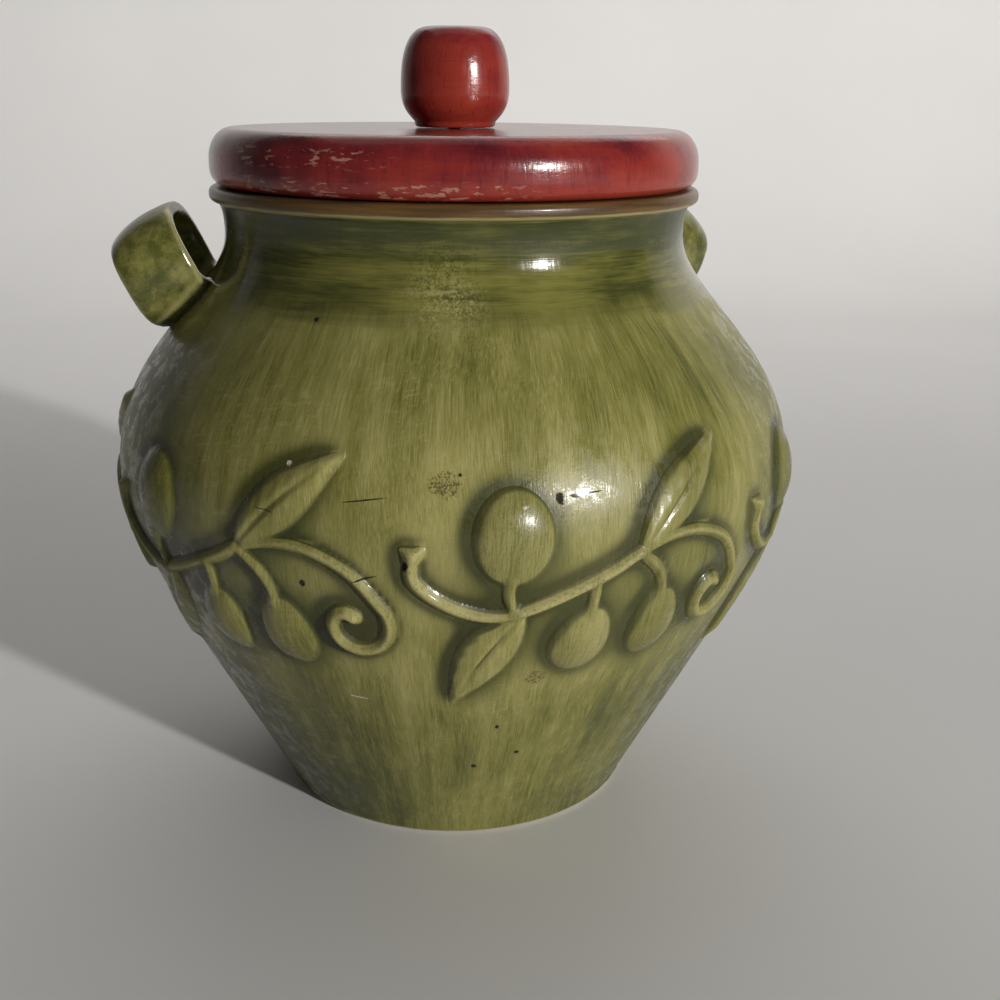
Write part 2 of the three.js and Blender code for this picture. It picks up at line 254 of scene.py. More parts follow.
neck_height = BELLY_HEIGHT + SHOULDER_RISE
lip_height = rim_height - LIP_HEIGHT
lip_radius = NECK_RADIUS + NECK_FLARE + LIP_STEP
mouth_radius = NECK_RADIUS - WALL
floor_height = FOOT_RECESS + FLOOR
groove_radius = plug_radius - SEAL_SEAT
bore_radius = SCREW_RADIUS + SEAT_GAP
spray_pitch = 2 * math.pi / len(spray_nodes)


# Lines in the plane of a turned profile: radius, then height

def bezier(points, steps):
    """Points along a Bezier curve."""
    share = np.linspace(0, 1, steps + 1)[:, None]
    layers = [np.repeat(np.array(point, float)[None], steps + 1, 0) for point in points]
    while len(layers) > 1:
        layers = [a + (b - a) * share for a, b in zip(layers, layers[1:])]
    return layers[0]


def quarter(start, corner, end, steps=EDGE_STEPS):
    """Quarter of an ellipse, leaving its start towards the corner."""
    angle = np.linspace(0, math.pi / 2, steps + 1)[:, None]
    start, corner, end = (np.array(point, float) for point in (start, corner, end))
    return corner + (start - corner) * (1 - np.sin(angle)) + (end - corner) * (1 - np.cos(angle))


def run(start, end, steps):
    """Evenly spaced points on a straight line."""
    return np.linspace(np.array(start, float), np.array(end, float), steps + 1)


def join(*runs):
    """Runs of points end to end, without the point that two runs share."""
    points = np.vstack([np.atleast_2d(np.array(r, float)) for r in runs])
    apart = np.linalg.norm(np.diff(points, axis=0), axis=1) > WELD
    return points[np.r_[True, apart]]


def beside(line, distance):
    """A line moved to the right of its direction."""
    along = np.gradient(line, axis=0)
    along /= np.linalg.norm(along, axis=1)[:, None]
    return line + distance * np.c_[along[:, 1], -along[:, 0]]


FLARE = [
    (FOOT_RADIUS, FOOT_EDGE),
    (FOOT_RADIUS + FLARE_OUT, FOOT_EDGE + FLARE_UP),
    (belly_radius, BELLY_HEIGHT - BELLY_HOLD_BELOW),
    (belly_radius, BELLY_HEIGHT),
]
SHOULDER = [
    (belly_radius, BELLY_HEIGHT),
    (belly_radius, BELLY_HEIGHT + BELLY_HOLD_ABOVE),
    (NECK_RADIUS, neck_height - NECK_HOLD),
    (NECK_RADIUS, neck_height),
]
wall_line = join(bezier(FLARE, FLARE_STEPS), bezier(SHOULDER, SHOULDER_STEPS))
wall_out = beside(wall_line, 1) - wall_line


def wall_at(height):
    """Radius of the jar's wall at a height, and the outward direction there as radius and height."""
    return tuple(
        np.interp(height, wall_line[:, 1], values)
        for values in (wall_line[:, 0], wall_out[:, 0], wall_out[:, 1])
    )


def off_wall(points):
    """How far points lie outside the jar's wall."""
    radius, out_r, _ = wall_at(points[:, 2])
    return (np.hypot(points[:, 0], points[:, 1]) - radius) * out_r


# Node trees

class Value:
    """A socket that takes part in arithmetic."""

    def __init__(self, tree, socket):
        self.tree = tree
        self.socket = socket

    def maths(self, operation, *others):
        return self.tree.maths(operation, self, *others)

    __add__ = __radd__ = lambda self, other: self.maths("ADD", other)
    __sub__ = lambda self, other: self.maths("SUBTRACT", other)
    __rsub__ = lambda self, other: self.tree.maths("SUBTRACT", other, self)
    __mul__ = __rmul__ = lambda self, other: self.maths("MULTIPLY", other)
    __truediv__ = lambda self, other: self.maths("DIVIDE", other)
    __pow__ = lambda self, other: self.maths("POWER", other)


class Tree:
    """A node tree, filled by one method."""

    def __init__(self, tree):
        self.tree = tree

    def feed(self, socket, value):
        if isinstance(value, Value):
            self.tree.links.new(value.socket, socket)
        else:
            socket.default_value = value

    def node(self, kind, settings=None, sockets=None, output=0):
        """A new node: its settings first, then the values or links of its sockets."""
        made = self.tree.nodes.new(kind)
        for name, value in (settings or {}).items():
            setattr(made, name, value)
        for name, value in (sockets or {}).items():
            self.feed(made.inputs[name], value)
        return Value(self, made.outputs[output])

    def maths(self, operation, *values):
        return self.node("ShaderNodeMath", {"operation": operation}, dict(enumerate(values)))

    def vector(self, x, y, z):
        return self.node("ShaderNodeCombineXYZ", None, {"X": x, "Y": y, "Z": z})

    def parts(self, vector):
        """The three numbers of a vector."""
        made = self.node("ShaderNodeSeparateXYZ", None, {0: vector}).socket.node
        return tuple(Value(self, made.outputs[i]) for i in range(3))


class Finish(Tree):
    """A material and its nodes."""

    def __init__(self, name):
        self.material = bpy.data.materials.new(name)
        self.material.use_nodes = True
        super().__init__(self.material.node_tree)
        self.shader = self.tree.nodes["Principled BSDF"]
        self.colour = None

    def coordinates(self):
        """Object coordinates, in millimetres."""
        place = self.node("ShaderNodeTexCoord", output="Object")
        return self.node("ShaderNodeVectorMath", {"operation": "SCALE"}, {0: place, "Scale": 1 / MM})

    def attribute(self, name):
        return self.node("ShaderNodeAttribute", {"attribute_name": name}, output="Fac")

    def noise(self, vector, scale, detail=3.0, roughness=0.6):
        return self.node("ShaderNodeTexNoise", None, {
            "Vector": vector, "Scale": scale, "Detail": detail, "Roughness": roughness,
        })

    def cells(self, vector, scale, output="Distance"):
        return self.node("ShaderNodeTexVoronoi", None, {"Vector": vector, "Scale": scale}, output)

    def step(self, value, low, high):
        """0 below low, 1 above high, and smooth between; low may be the larger."""
        return self.node("ShaderNodeMapRange", {"interpolation_type": "SMOOTHSTEP"}, {
            "Value": value, "From Min": low, "From Max": high,
        })

    def mix(self, factor, first, second):
        """A colour between two colours."""
        return self.node("ShaderNodeMix", {"data_type": "RGBA"}, {0: factor, 6: first, 7: second}, 2)

    def lay(self, factor, tint):
        """Lays a tint over the colour so far."""
        self.colour = self.mix(factor, self.colour, tint)

    def sway(self, *terms):
        """The sum of noises that swing about zero, each with its weight."""
        total = None
        for value, weight in terms:
            swing = (value - 0.5) * weight
            total = swing if total is None else total + swing
        return total

    def bump(self, height, distance, strength, normal=None):
        sockets = {"Height": height, "Distance": distance, "Strength": strength}
        if normal:
            sockets["Normal"] = normal
        return self.node("ShaderNodeBump", None, sockets)

    def shade(self, **sockets):
        """Feeds the shader; an underscore in a name stands for a space."""
        for name, value in sockets.items():
            self.feed(self.shader.inputs[name.replace("_", " ")], value)
        return self.material


def rgb(red, green, blue):
    return (red, green, blue, 1.0)


# Glaze: olive green brushed over clay, dark where it pools and where shade is painted round the relief, and
# pale where it runs thin

GLAZE_DARK = rgb(0.064, 0.072, 0.013)
GLAZE_MID = rgb(0.190, 0.182, 0.043)
GLAZE_PALE = rgb(0.375, 0.342, 0.124)
HANDLE_PALE = rgb(0.250, 0.235, 0.070)
POOLED_AND_SHADED_GLAZE = rgb(0.022, 0.026, 0.006)
GLAZE_THIN = rgb(0.450, 0.400, 0.180)
NECK_DARK = rgb(0.040, 0.047, 0.010)
NECK_PALE = rgb(0.205, 0.194, 0.047)
LIP_BROWN = rgb(0.150, 0.080, 0.024)
LIP_DARK = rgb(0.060, 0.034, 0.012)
LINING_PALE = rgb(0.330, 0.280, 0.150)
BARE_CLAY = rgb(0.560, 0.490, 0.370)
PIT_DARK = rgb(0.012, 0.008, 0.004)
SCORCH_BROWN = rgb(0.072, 0.050, 0.012)

# Marks in the glaze: degrees round from the front, height, then half sizes round and up, and the lean
PITS = [
    (-6.9, 107.0, 0.8, 1.5, -20), (-22.4, 99.1, 0.9, 1.1, 0), (3.9, 32.7, 0.9, 0.8, 0),
    (13.2, 37.6, 0.7, 0.7, 0), (8.0, 49.7, 0.6, 0.8, 0), (0.6, 129.8, 0.5, 0.5, 0),
    (14.6, 123.2, 1.0, 1.6, 10),
]
CRACKS = [
    (18.4, 123.9, 4.6, 0.24, 3), (17.0, 123.6, 1.3, 0.5, -6), (-13.0, 123.0, 6.0, 0.2, 9),
    (-12.9, 102.5, 3.6, 0.26, 16), (-27.5, 118.6, 3.2, 0.16, -8),
]
SCORCHES = [(13.5, 68.9, 2.6, 2.2, 0), (-1.5, 127.5, 3.6, 3.0, 0), (14.8, 121.6, 2.6, 3.2, 0)]
# The chip at -24.5 degrees is partly a painted glint
CHIPS = [(-24.5, 130.2, 0.9, 0.7, 0), (-17.5, 60.4, 3.2, 0.3, -5), (9.5, 122.0, 1.0, 0.5, 0)]

# Heights between which one tone of the glaze gives way to the next; the foot, shoulder and flank spans fade
# painted shade in, and the lip's pale band is a painted highlight
BARE_FOOT = (1.6, 0.6)
FOOT_SHADE = (85.0, 40.0)
SHOULDER_SHADE = (130.0, 155.0)
FLANKS_FADE = (160.0, 138.0)
NECK_START = (160.5, 168.0)
NECK_FOOT = (167.0, 163.5)
NECK_UPPER = (174.0, 186.0)
LIP_HIGHLIGHT = (lip_height - 0.6, lip_height + 0.4)
LIP_STAINED = (lip_height + 0.7, lip_height + 1.4)

# The speckled patch on the neck: its place and fade, then height, grain and tint of each half
SPECKLE_PLACE = (-3.0, -72.0)
SPECKLE_FADE = (15.0, 3.0)
SPECKLES = [(177.0, 0.56, 0.38, NECK_DARK), (166.0, 0.42, 0.62, GLAZE_THIN)]
PIT_DENSITY = 0.034
MARK_DEPTH = 6.0
AXIS_GUARD = 0.001


def mark_field(finish, place, marks, wobble):
    """1 on the marks and 0 elsewhere, with ragged outlines."""
    field = 0.0
    for degrees, height, round_half, up_half, lean in marks:
        angle = math.radians(degrees)
        radius = wall_at(height)[0]
        local = finish.node("ShaderNodeMapping", {"vector_type": "TEXTURE"}, {
            "Vector": place,
            "Location": (radius * math.sin(angle), -radius * math.cos(angle), height),
            "Rotation": (0.0, math.radians(-lean), angle),
            "Scale": (round_half, MARK_DEPTH, up_half),
        })
        reach = finish.node("ShaderNodeVectorMath", {"operation": "LENGTH"}, {0: local}, "Value")
        field = finish.maths("MAXIMUM", finish.step(reach + wobble, 1.1, 0.7), field)
    return field


def olive_glaze():
    finish = Finish("olive_glaze")
    step, mix, lay, sway = finish.step, finish.mix, finish.lay, finish.sway
    noise, vector = finish.noise, finish.vector
    place = finish.coordinates()
    x, y, z = finish.parts(place)
    radius = finish.maths("SQRT", x * x + y * y) + AXIS_GUARD
    side = x / radius
    east, north = side * belly_radius, y / radius * belly_radius

    # Brush strokes run up and down the belly, and round the neck
    drift = sway((noise(place, 0.011, 1.0, 0.5), 14))
    lean = sway((noise(place, 0.03, 2.0, 0.5), 5))
    upright = vector(east + drift + lean, north + drift + lean, z * 0.05)
    level = vector(east * 0.04, north * 0.04, z + lean * 0.3)
    hairs = noise(upright, 2.9, 2.0, 0.65)
    strokes = noise(upright, 0.55, 3.0, 0.62)
    swathes = noise(vector(east + drift, north + drift, z * 0.16), 0.13)
    washes = noise(vector(east + drift, north, z * 0.5), 0.04)
    blotches = noise(place, 0.026)
    grains = noise(place, 1.6, 2.0)
    neck_hairs = noise(level, 2.0, 2.0)
    neck_bands = noise(level, 0.5, 3.0, 0.62)
    neck_washes = noise(vector(east * 0.3, north * 0.3, z), 0.09)

    # A dry brush left pale hairs, and crossed some of them aslant
    slant = vector(east * 0.12 + z * 0.5, north * 0.12, z - east * 0.3)
    crossed = step(noise(slant, 1.1, 2.0), 0.54, 0.72) * step(blotches, 0.5, 0.62)
    dry = step(hairs, 0.5, 0.74) * step(swathes, 0.36, 0.6)
    # The front of the belly is painted lighter, and its flanks, foot and shoulder darker: painted light and
    # shade
    shaded_flanks = step(side, -0.05, -0.9) * 0.4 + step(side, 0.2, 0.85) * 0.28
    front = (0.25 - shaded_flanks * step(z, *FLANKS_FADE) - step(z, *FOOT_SHADE) * 0.32
             - step(z, *SHOULDER_SHADE) * 0.24)
    tone = sway((hairs, 0.75), (strokes, 0.36), (swathes, 0.55), (washes, 0.8), (blotches, 0.5)) + front
    belly = mix(step(tone, -0.42, 0.04), GLAZE_DARK, GLAZE_MID)
    belly = mix(step(tone, -0.12, 0.5), belly, GLAZE_PALE)
    belly = mix(dry * 0.2 + crossed * 0.3, belly, GLAZE_THIN)
    # The neck is darker than the belly and darkest at its top, partly darker glaze and partly painted shadow
    # of the lid; its flanks are painted darker as shade
    upper_neck = step(z + sway((neck_washes, 10)), *NECK_UPPER)
    neck_edge = step(z + sway((neck_washes, 6)), *NECK_FOOT)
    shaded_flanks = step(side, 0.2, 0.7) * 0.16 + step(side, -0.2, -0.7) * 0.12
    tone = sway((neck_hairs, 0.3), (neck_bands, 0.6), (neck_washes, 0.9), (blotches, 0.5))
    tone = tone - upper_neck * 0.24 - neck_edge * 0.12 - shaded_flanks
    neck = mix(step(tone, -0.42, 0.3), NECK_DARK, NECK_PALE)
    on_neck = step(z + sway((strokes, 5), (hairs, 3), (washes, 8), (neck_bands, 9)), *NECK_START)
    finish.colour = mix(on_neck, belly, neck)
    mottle = step(grains * 0.22 + noise(place, 0.16, 4.0, 0.65) * 0.9 + blotches * 0.3, 0.5, 0.95)
    lay(finish.attribute("strap"), mix(mottle, GLAZE_DARK, HANDLE_PALE))

    # Speckled clay shows through on the front of the neck
    freckles = grains * 0.7 + noise(place, 0.6, 3.0, 0.65) * 0.6 - 0.15 + sway((neck_bands, 0.3))
    for height, low, high, tint in SPECKLES:
        away = finish.node("ShaderNodeVectorMath", {"operation": "DISTANCE"}, {
            0: place, 1: (*SPECKLE_PLACE, height),
        }, "Value")
        in_patch = step(away + sway((neck_washes, 18), (strokes, 12)), *SPECKLE_FADE)
        lay(step(freckles, low, high) * in_patch * 0.55, tint)

    # Relief: pooled glaze and painted shade in the creases and around the raised forms, thin glaze on the
    # crests
    pool = finish.attribute("pool") + sway((hairs, 0.16))
    uneven = step(blotches * 0.6 + washes * 0.4, 0.25, 0.7)
    broad = finish.attribute("broad_pool") + sway((swathes, 0.3), (blotches, 0.4))
    lay(step(broad, 0.06, 0.6) * 0.8, GLAZE_DARK)
    fruit = finish.attribute("fruit")
    streaks = step(hairs * 0.6 + grains * 0.4, 0.54, 0.34)
    lay((streaks * 0.3 + 0.2) * fruit, GLAZE_DARK)
    crest = step(pool, -0.05, -0.6)
    lay(crest * (0.45 - fruit * 0.33), GLAZE_THIN)
    matte = finish.attribute("vine")
    lay(step(grains, 0.5, 0.32) * matte * 0.5, GLAZE_DARK)
    lay(step(pool, 0.03, 0.45) * (0.95 - uneven * 0.4), POOLED_AND_SHADED_GLAZE)

    # Lip, lining and foot; the pale band along the lip's lower edge is a painted highlight
    lip_edge = z + sway((neck_hairs, 0.8))
    lay(step(lip_edge, *LIP_HIGHLIGHT) * 0.8, GLAZE_THIN)
    lay(step(lip_edge, *LIP_STAINED), mix(step(neck_bands, 0.3, 0.7), LIP_DARK, LIP_BROWN))
    lay(finish.attribute("lining"), mix(washes, LINING_PALE, GLAZE_PALE))
    bare = step(z + sway((washes, 1.5)), *BARE_FOOT)
    lay(bare, BARE_CLAY)

    # Scorches, chips, hairline cracks, and pits that burst through the glaze
    ragged = sway((grains, 1.6))
    scorched = mark_field(finish, place, SCORCHES, ragged * 1.5) * step(grains, 0.62, 0.4)
    lay(scorched * 0.75, SCORCH_BROWN)
    # Chips show bare clay; the one at -24.5 degrees is partly a painted glint
    chips = mark_field(finish, place, CHIPS, ragged)
    lay(chips, BARE_CLAY)
    rarity = finish.parts(finish.cells(place, PIT_DENSITY, "Color"))[0]
    stray = step(finish.cells(place, PIT_DENSITY) + sway((grains, 0.04)), 0.034, 0.016)
    stray = stray * step(rarity, 0.72, 0.74)
    pits = finish.maths("MAXIMUM", stray, mark_field(finish, place, PITS + CRACKS, ragged * 0.6))
    lay(pits, PIT_DARK)

    brushed = neck_hairs * on_neck + (hairs * 0.6 + strokes * 0.4) * (1 - on_neck)
    relief = (brushed + grains * 0.4) * (1 - matte) * (1 - on_neck * 0.65) - (pits + chips) * 3
    normal = finish.bump(relief, 0.00010, 0.7)
    normal = finish.bump(blotches + swathes * 0.3, 0.0010, 0.3, normal)
    crazed = step(noise(place, 0.22, 4.0, 0.65) + sway((grains, 0.3)), 0.4, 0.54) * (1 - on_neck)
    shine = (0.24 - on_neck * 0.11 + upper_neck * 0.2 + crazed * 0.16 + matte * 0.3
             + sway((hairs, 0.12), (grains, 0.1)) + (pits + chips) * 0.4)
    coat = (0.24 + on_neck * 0.16 - upper_neck * 0.3 - crazed * 0.2) * (1 - matte * 0.9)
    return finish.shade(
        Base_Color=finish.colour,
        Roughness=finish.node("ShaderNodeMix", {"data_type": "FLOAT"}, {0: bare, 2: shine, 3: 0.85}),
        Normal=normal,
        IOR=1.45,
        Coat_Weight=(1 - bare) * coat,
        Coat_Roughness=0.07,
    )


# Wood: red stain under varnish, worn through to bare wood along the edges

STAIN_DARK = rgb(0.056, 0.006, 0.011)
STAIN_MID = rgb(0.178, 0.016, 0.020)
STAIN_WARM = rgb(0.310, 0.036, 0.021)
WORN_WOOD = rgb(0.560, 0.360, 0.250)
WARM_EDGE = (board_base + 6.0, board_base + 1.0)

# Two rows of flaked varnish on the board's edge: where each starts and ends in height, then sideways
UPPER_FLAKES = (board_top - 9.4, board_top - 7.0), (board_top - 3.0, board_top - 4.4)
LOWER_FLAKES = (board_base + 5.6, board_base + 4.0), (board_base + 0.4, board_base + 1.2)
UPPER_FLAKES_END = (-12.0, -30.0)
LOWER_FLAKES_END = (26.0, 8.0)
FLAKES_START = (-65.0, -57.0)


def red_stained_wood(name, chipped):
    finish = Finish(name)
    step, mix, lay = finish.step, finish.mix, finish.lay
    noise, vector = finish.noise, finish.vector
    place = finish.coordinates()
    x, y, z = finish.parts(place)
    warp = noise(place, 0.016, 2.0, 0.5) - 0.5
    rings = noise(vector(x * 0.06 + warp * 2, y + warp * 10, z + warp * 5), 0.11, 4.0, 0.55)
    fibres = noise(vector(x * 0.05, y, z), 1.5, 3.0, 0.65)
    rubs = noise(vector(x, y, z * 0.12), 0.9, 2.0)
    blush = noise(place, 0.028, 3.0, 0.55)
    dents = noise(place, 0.1)

    # The stain grows darker towards the left and warmer towards the right: painted shade and light across the
    # lid and the knob
    stain_and_light = finish.sway((blush, 1.5), (rings, 1.0)) + x * 0.0036 - 0.06
    stain_and_light = stain_and_light + (step(z, *WARM_EDGE) * 0.3 if chipped else 0.22)
    finish.colour = mix(step(stain_and_light, -0.25, 0.4), STAIN_MID, STAIN_WARM)
    lay(step(stain_and_light, 0.0, -0.45) * 0.85, STAIN_DARK)
    lay(step(fibres, 0.54, 0.74) * 0.35, STAIN_DARK)
    lay(step(rubs, 0.55, 0.75) * 0.3, STAIN_WARM)
    lay(step(rubs, 0.45, 0.25) * 0.4, STAIN_DARK)
    height = fibres * 0.3 + rubs * 0.4 + dents
    shine = 0.16 + dents * 0.12 + finish.sway((rubs, 0.14))
    if chipped:
        flakes = noise(vector(x * 0.25, y * 0.25, z), 0.95, 3.0, 0.55)
        patches = noise(place, 0.07, 2.0, 0.5)
        upper, lower = (step(z, *row[0]) * step(z, *row[1]) for row in (UPPER_FLAKES, LOWER_FLAKES))
        reach = upper * step(x, *UPPER_FLAKES_END) + lower * step(x, *LOWER_FLAKES_END)
        worn = step(flakes + finish.sway((patches, 0.2)) + upper * 0.015, 0.58, 0.61)
        worn = worn * reach * step(x, *FLAKES_START)
        lay(worn * 0.85, mix(fibres, WORN_WOOD, STAIN_WARM))
        height = height - worn * 1.5
        shine = shine + worn * 0.35
    return finish.shade(
        Base_Color=finish.colour,
        Roughness=shine,
        Normal=finish.bump(height, 0.0003, 0.5),
        IOR=1.45,
        Coat_Weight=0.22,
        Coat_Roughness=0.09,
    )


SEAL_DULL = rgb(0.70, 0.67, 0.58)
SEAL_PALE = rgb(0.82, 0.80, 0.74)
SEAL_DUST = rgb(0.52, 0.48, 0.40)
STEEL_BRIGHT = rgb(0.62, 0.60, 0.55)
STEEL_DULL = rgb(0.45, 0.43, 0.40)


def seal_silicone():
    finish = Finish("seal_silicone")
    place = finish.coordinates()
    bloom = finish.noise(place, 0.05, 4.0)
    dust = finish.noise(place, 1.4)
    finish.colour = finish.mix(finish.step(bloom, 0.3, 0.7), SEAL_DULL, SEAL_PALE)
    finish.lay(finish.step(dust, 0.6, 0.8) * 0.5, SEAL_DUST)
    return finish.shade(
        Base_Color=finish.colour,
        Roughness=0.42 + bloom * 0.2,
        Normal=finish.bump(dust, 0.00006, 0.4),
        IOR=1.42,
    )


def screw_steel():
    finish = Finish("screw_steel")
    place = finish.coordinates()
    x, y, z = finish.parts(place)
    scuffs = finish.noise(finish.vector(x, y, z * 6), 1.2, 4.0, 0.65)
    dulled = finish.noise(place, 0.35)
    colour = finish.mix(finish.step(dulled, 0.35, 0.7), STEEL_BRIGHT, STEEL_DULL)
    return finish.shade(
        Base_Color=colour,
        Metallic=1.0,
        Roughness=0.26 + scuffs * 0.22,
        Normal=finish.bump(scuffs, 0.00003, 0.5),
    )


# Geometry Nodes

def add_object(name, data):
    """A new object at the origin, with its data named after it."""
    data.name = name
    made = bpy.data.objects.new(name, data)
    bpy.context.scene.collection.objects.link(made)
    return made


class Shape(Tree):
    """A Geometry Nodes tree with named inputs: numbers, counts and a material."""

    def __init__(self, name, numbers=(), counts=()):
        group = bpy.data.node_groups.new(name, "GeometryNodeTree")
        super().__init__(group)
        inputs = {"Geometry": "Geometry", **dict.fromkeys(numbers, "Float"), **dict.fromkeys(counts, "Int"),
                  "Material": "Material"}
        for label, kind in inputs.items():
            group.interface.new_socket(label, in_out="INPUT", socket_type="NodeSocket" + kind)
        group.interface.new_socket("Geometry", in_out="OUTPUT", socket_type="NodeSocketGeometry")
        self.entry = group.nodes.new("NodeGroupInput")

    def given(self, label):
        return Value(self, self.entry.outputs[label])

    def named(self, attribute):
        return self.node("GeometryNodeInputNamedAttribute", {"data_type": "FLOAT"}, {"Name": attribute})

    def position(self):
        return self.node("GeometryNodeInputPosition")

    def moved(self, geometry, place):
        return self.node("GeometryNodeSetPosition", None, {"Geometry": geometry, "Position": place})

    def round_place(self, radius, angle, height, sideways=0.0):
        """A place round the jar's axis; the angle starts at the front."""
        sine, cosine = self.maths("SINE", angle), self.maths("COSINE", angle)
        return self.vector(radius * sine + sideways * cosine, sideways * sine - radius * cosine, height)

    def close(self, geometry):
        """Ends the tree: a smooth, plain mesh with its material."""
        smooth = self.node("GeometryNodeSetShadeSmooth", None, {"Geometry": geometry})
        plain = self.node("GeometryNodeRealizeInstances", None, {"Geometry": smooth})
        dressed = self.node("GeometryNodeSetMaterial", None, {
            "Geometry": plain, "Material": self.given("Material"),
        })
        self.feed(self.tree.nodes.new("NodeGroupOutput").inputs[0], dressed)
        return self

    def made(self, name, mesh, **values):
        """A plain mesh object: this tree run on a mesh."""
        source = add_object(name + "_source", mesh)
        modifier = source.modifiers.new("shape", "NODES")
        modifier.node_group = self.tree
        for item in self.tree.interface.items_tree:
            label = item.name.replace(" ", "_")
            if item.in_out == "INPUT" and label in values:
                modifier[item.identifier] = values[label]
        view = bpy.context.evaluated_depsgraph_get()
        result = bpy.data.meshes.new_from_object(source.evaluated_get(view))
        bpy.data.objects.remove(source)
        return add_object(name, result)


def turned_shape():
    """Turns a line of points, radius and height, into a round piece."""
    shape = Shape("turned", counts=["Segments"])
    profile = shape.given("Geometry")
    segments = shape.given("Segments")
    rows = shape.node("GeometryNodeAttributeDomainSize", {"component": "MESH"}, {0: profile}, "Point Count")
    columns = segments + 1
    grid = shape.node("GeometryNodeMeshGrid", None, {
        "Size X": 1.0, "Size Y": 1.0, "Vertices X": rows, "Vertices Y": columns,
    }, "Mesh")
    index = shape.node("GeometryNodeInputIndex")
    row = shape.maths("FLOOR", (index + 0.5) / columns)
    angle = (index - row * columns) / segments * (2 * math.pi)
    point = shape.node("GeometryNodeSampleIndex", {"data_type": "FLOAT_VECTOR", "domain": "POINT"}, {
        "Geometry": profile, "Value": shape.position(), "Index": row,
    })
    radius, _, height = shape.parts(point)
    round_grid = shape.moved(grid, shape.round_place(radius, angle, height))
    return shape.close(shape.node("GeometryNodeMergeByDistance", None, {
        "Geometry": round_grid, "Distance": WELD,
    }))


def wrapped_shape():
    """Bends a flat drawing on to the wall: x runs round the belly, y outwards and z up."""
    shape = Shape("wrapped", ["Turn", "Belly radius"])
    across, lift, height = shape.parts(shape.position())
    angle = shape.given("Turn") + across / shape.given("Belly radius")
    reach = shape.named("wall_radius") + shape.named("out_radius") * lift
    place = shape.round_place(reach, angle, height + shape.named("out_height") * lift)
    return shape.close(shape.moved(shape.given("Geometry"), place))


def squared_ring(shape, steps, squareness, width, height):
    """A closed curve between a circle and a rectangle."""
    ring = shape.node("GeometryNodeCurvePrimitiveCircle", {"mode": "RADIUS"}, {
        "Resolution": steps, "Radius": 1.0,
    })
    x, y, _ = shape.parts(shape.position())
    bulge = shape.maths("ABSOLUTE", x) ** squareness + shape.maths("ABSOLUTE", y) ** squareness
    reach = bulge ** (1 / squareness)
    return shape.moved(ring, shape.vector(x / reach * width / 2, y / reach * height / 2, 0.0))


def looped_shape():
    """A wide strap swept round a loop that leans on the shoulder; its outer edge is crowned."""
    shape = Shape("looped", ["Turn", "Span", "Rise", "Width", "Thickness", "Crown"])
    span, rise, width, thickness = (shape.given(label) for label in ("Span", "Rise", "Width", "Thickness"))
    path = squared_ring(shape, LOOP_STEPS, HANDLE_SQUARENESS, span - thickness, rise - thickness)
    path = shape.node("GeometryNodeSetCurveNormal", {"mode": "Z_UP"}, {"Curve": path})
    strap = shape.node("GeometryNodeCurveToMesh", None, {
        "Curve": path, "Profile Curve": squared_ring(shape, STRAP_STEPS, STRAP_SQUARENESS, thickness, width),
    })
    sideways, up, outer = shape.parts(shape.position())
    across = outer / width * 2
    worn = shape.node("GeometryNodeStoreNamedAttribute", {"data_type": "FLOAT", "domain": "POINT"}, {
        "Geometry": strap, "Name": "across", "Value": across,
    })
    bend = shape.maths("MAXIMUM", (across - CROWN_START) / (1 - CROWN_START), 0.0) ** 2
    bend = bend * shape.maths("MAXIMUM", up / rise * 2, 0.0)
    lifted = up - shape.given("Crown") * bend + rise / 2 - HANDLE_SINK * MM
    lean = math.radians(HANDLE_LEAN)
    seat_radius, seat_height = bezier(SHOULDER, SEAT_STEPS)[round(SEAT_STEPS * HANDLE_SEAT_SHARE)] * MM
    reach = seat_radius + lifted * math.cos(lean) + outer * math.sin(lean)
    height = seat_height + lifted * math.sin(lean) - outer * math.cos(lean)
    return shape.close(shape.moved(worn, shape.round_place(reach, shape.given("Turn"), height, sideways)))


def threaded_shape():
    """A screw's thread: a ridge that climbs round the shank."""
    shape = Shape("threaded", ["Turns", "Rise", "Radius", "Ridge", "Base"])
    helix = shape.node("GeometryNodeCurveSpiral", None, {
        "Resolution": THREAD_STEPS, "Rotations": shape.given("Turns"), "Start Radius": shape.given("Radius"),
        "End Radius": shape.given("Radius"), "Height": shape.given("Rise"),
    })
    ridge = shape.node("GeometryNodeCurvePrimitiveCircle", {"mode": "RADIUS"}, {
        "Resolution": 3, "Radius": shape.given("Ridge"),
    })
    thread = shape.node("GeometryNodeCurveToMesh", None, {
        "Curve": helix, "Profile Curve": ridge, "Fill Caps": True,
    })
    lifted = shape.node("GeometryNodeTransform", None, {
        "Geometry": thread, "Translation": shape.vector(0.0, 0.0, shape.given("Base")),
    })
    both = shape.node("GeometryNodeJoinGeometry")
    for part in (shape.given("Geometry"), lifted):
        shape.tree.links.new(part.socket, both.socket.node.inputs[0])
    return shape.close(both)


TURNED = turned_shape()
WRAPPED = wrapped_shape()
LOOPED = looped_shape()
THREADED = threaded_shape()


def write_attribute(mesh, name, values):
    mesh.attributes.new(name, "FLOAT", "POINT").data.foreach_set("value", np.asarray(values, np.float32))


def plain_mesh(name, points, faces=(), **attributes):
    """A mesh from points in millimetres, with one number for each point under each name."""
    mesh = bpy.data.meshes.new(name)
    mesh.from_pydata((np.asarray(points) * MM).tolist(), [], [tuple(face) for face in faces])
    for label, values in attributes.items():
        write_attribute(mesh, label, values)
    return mesh


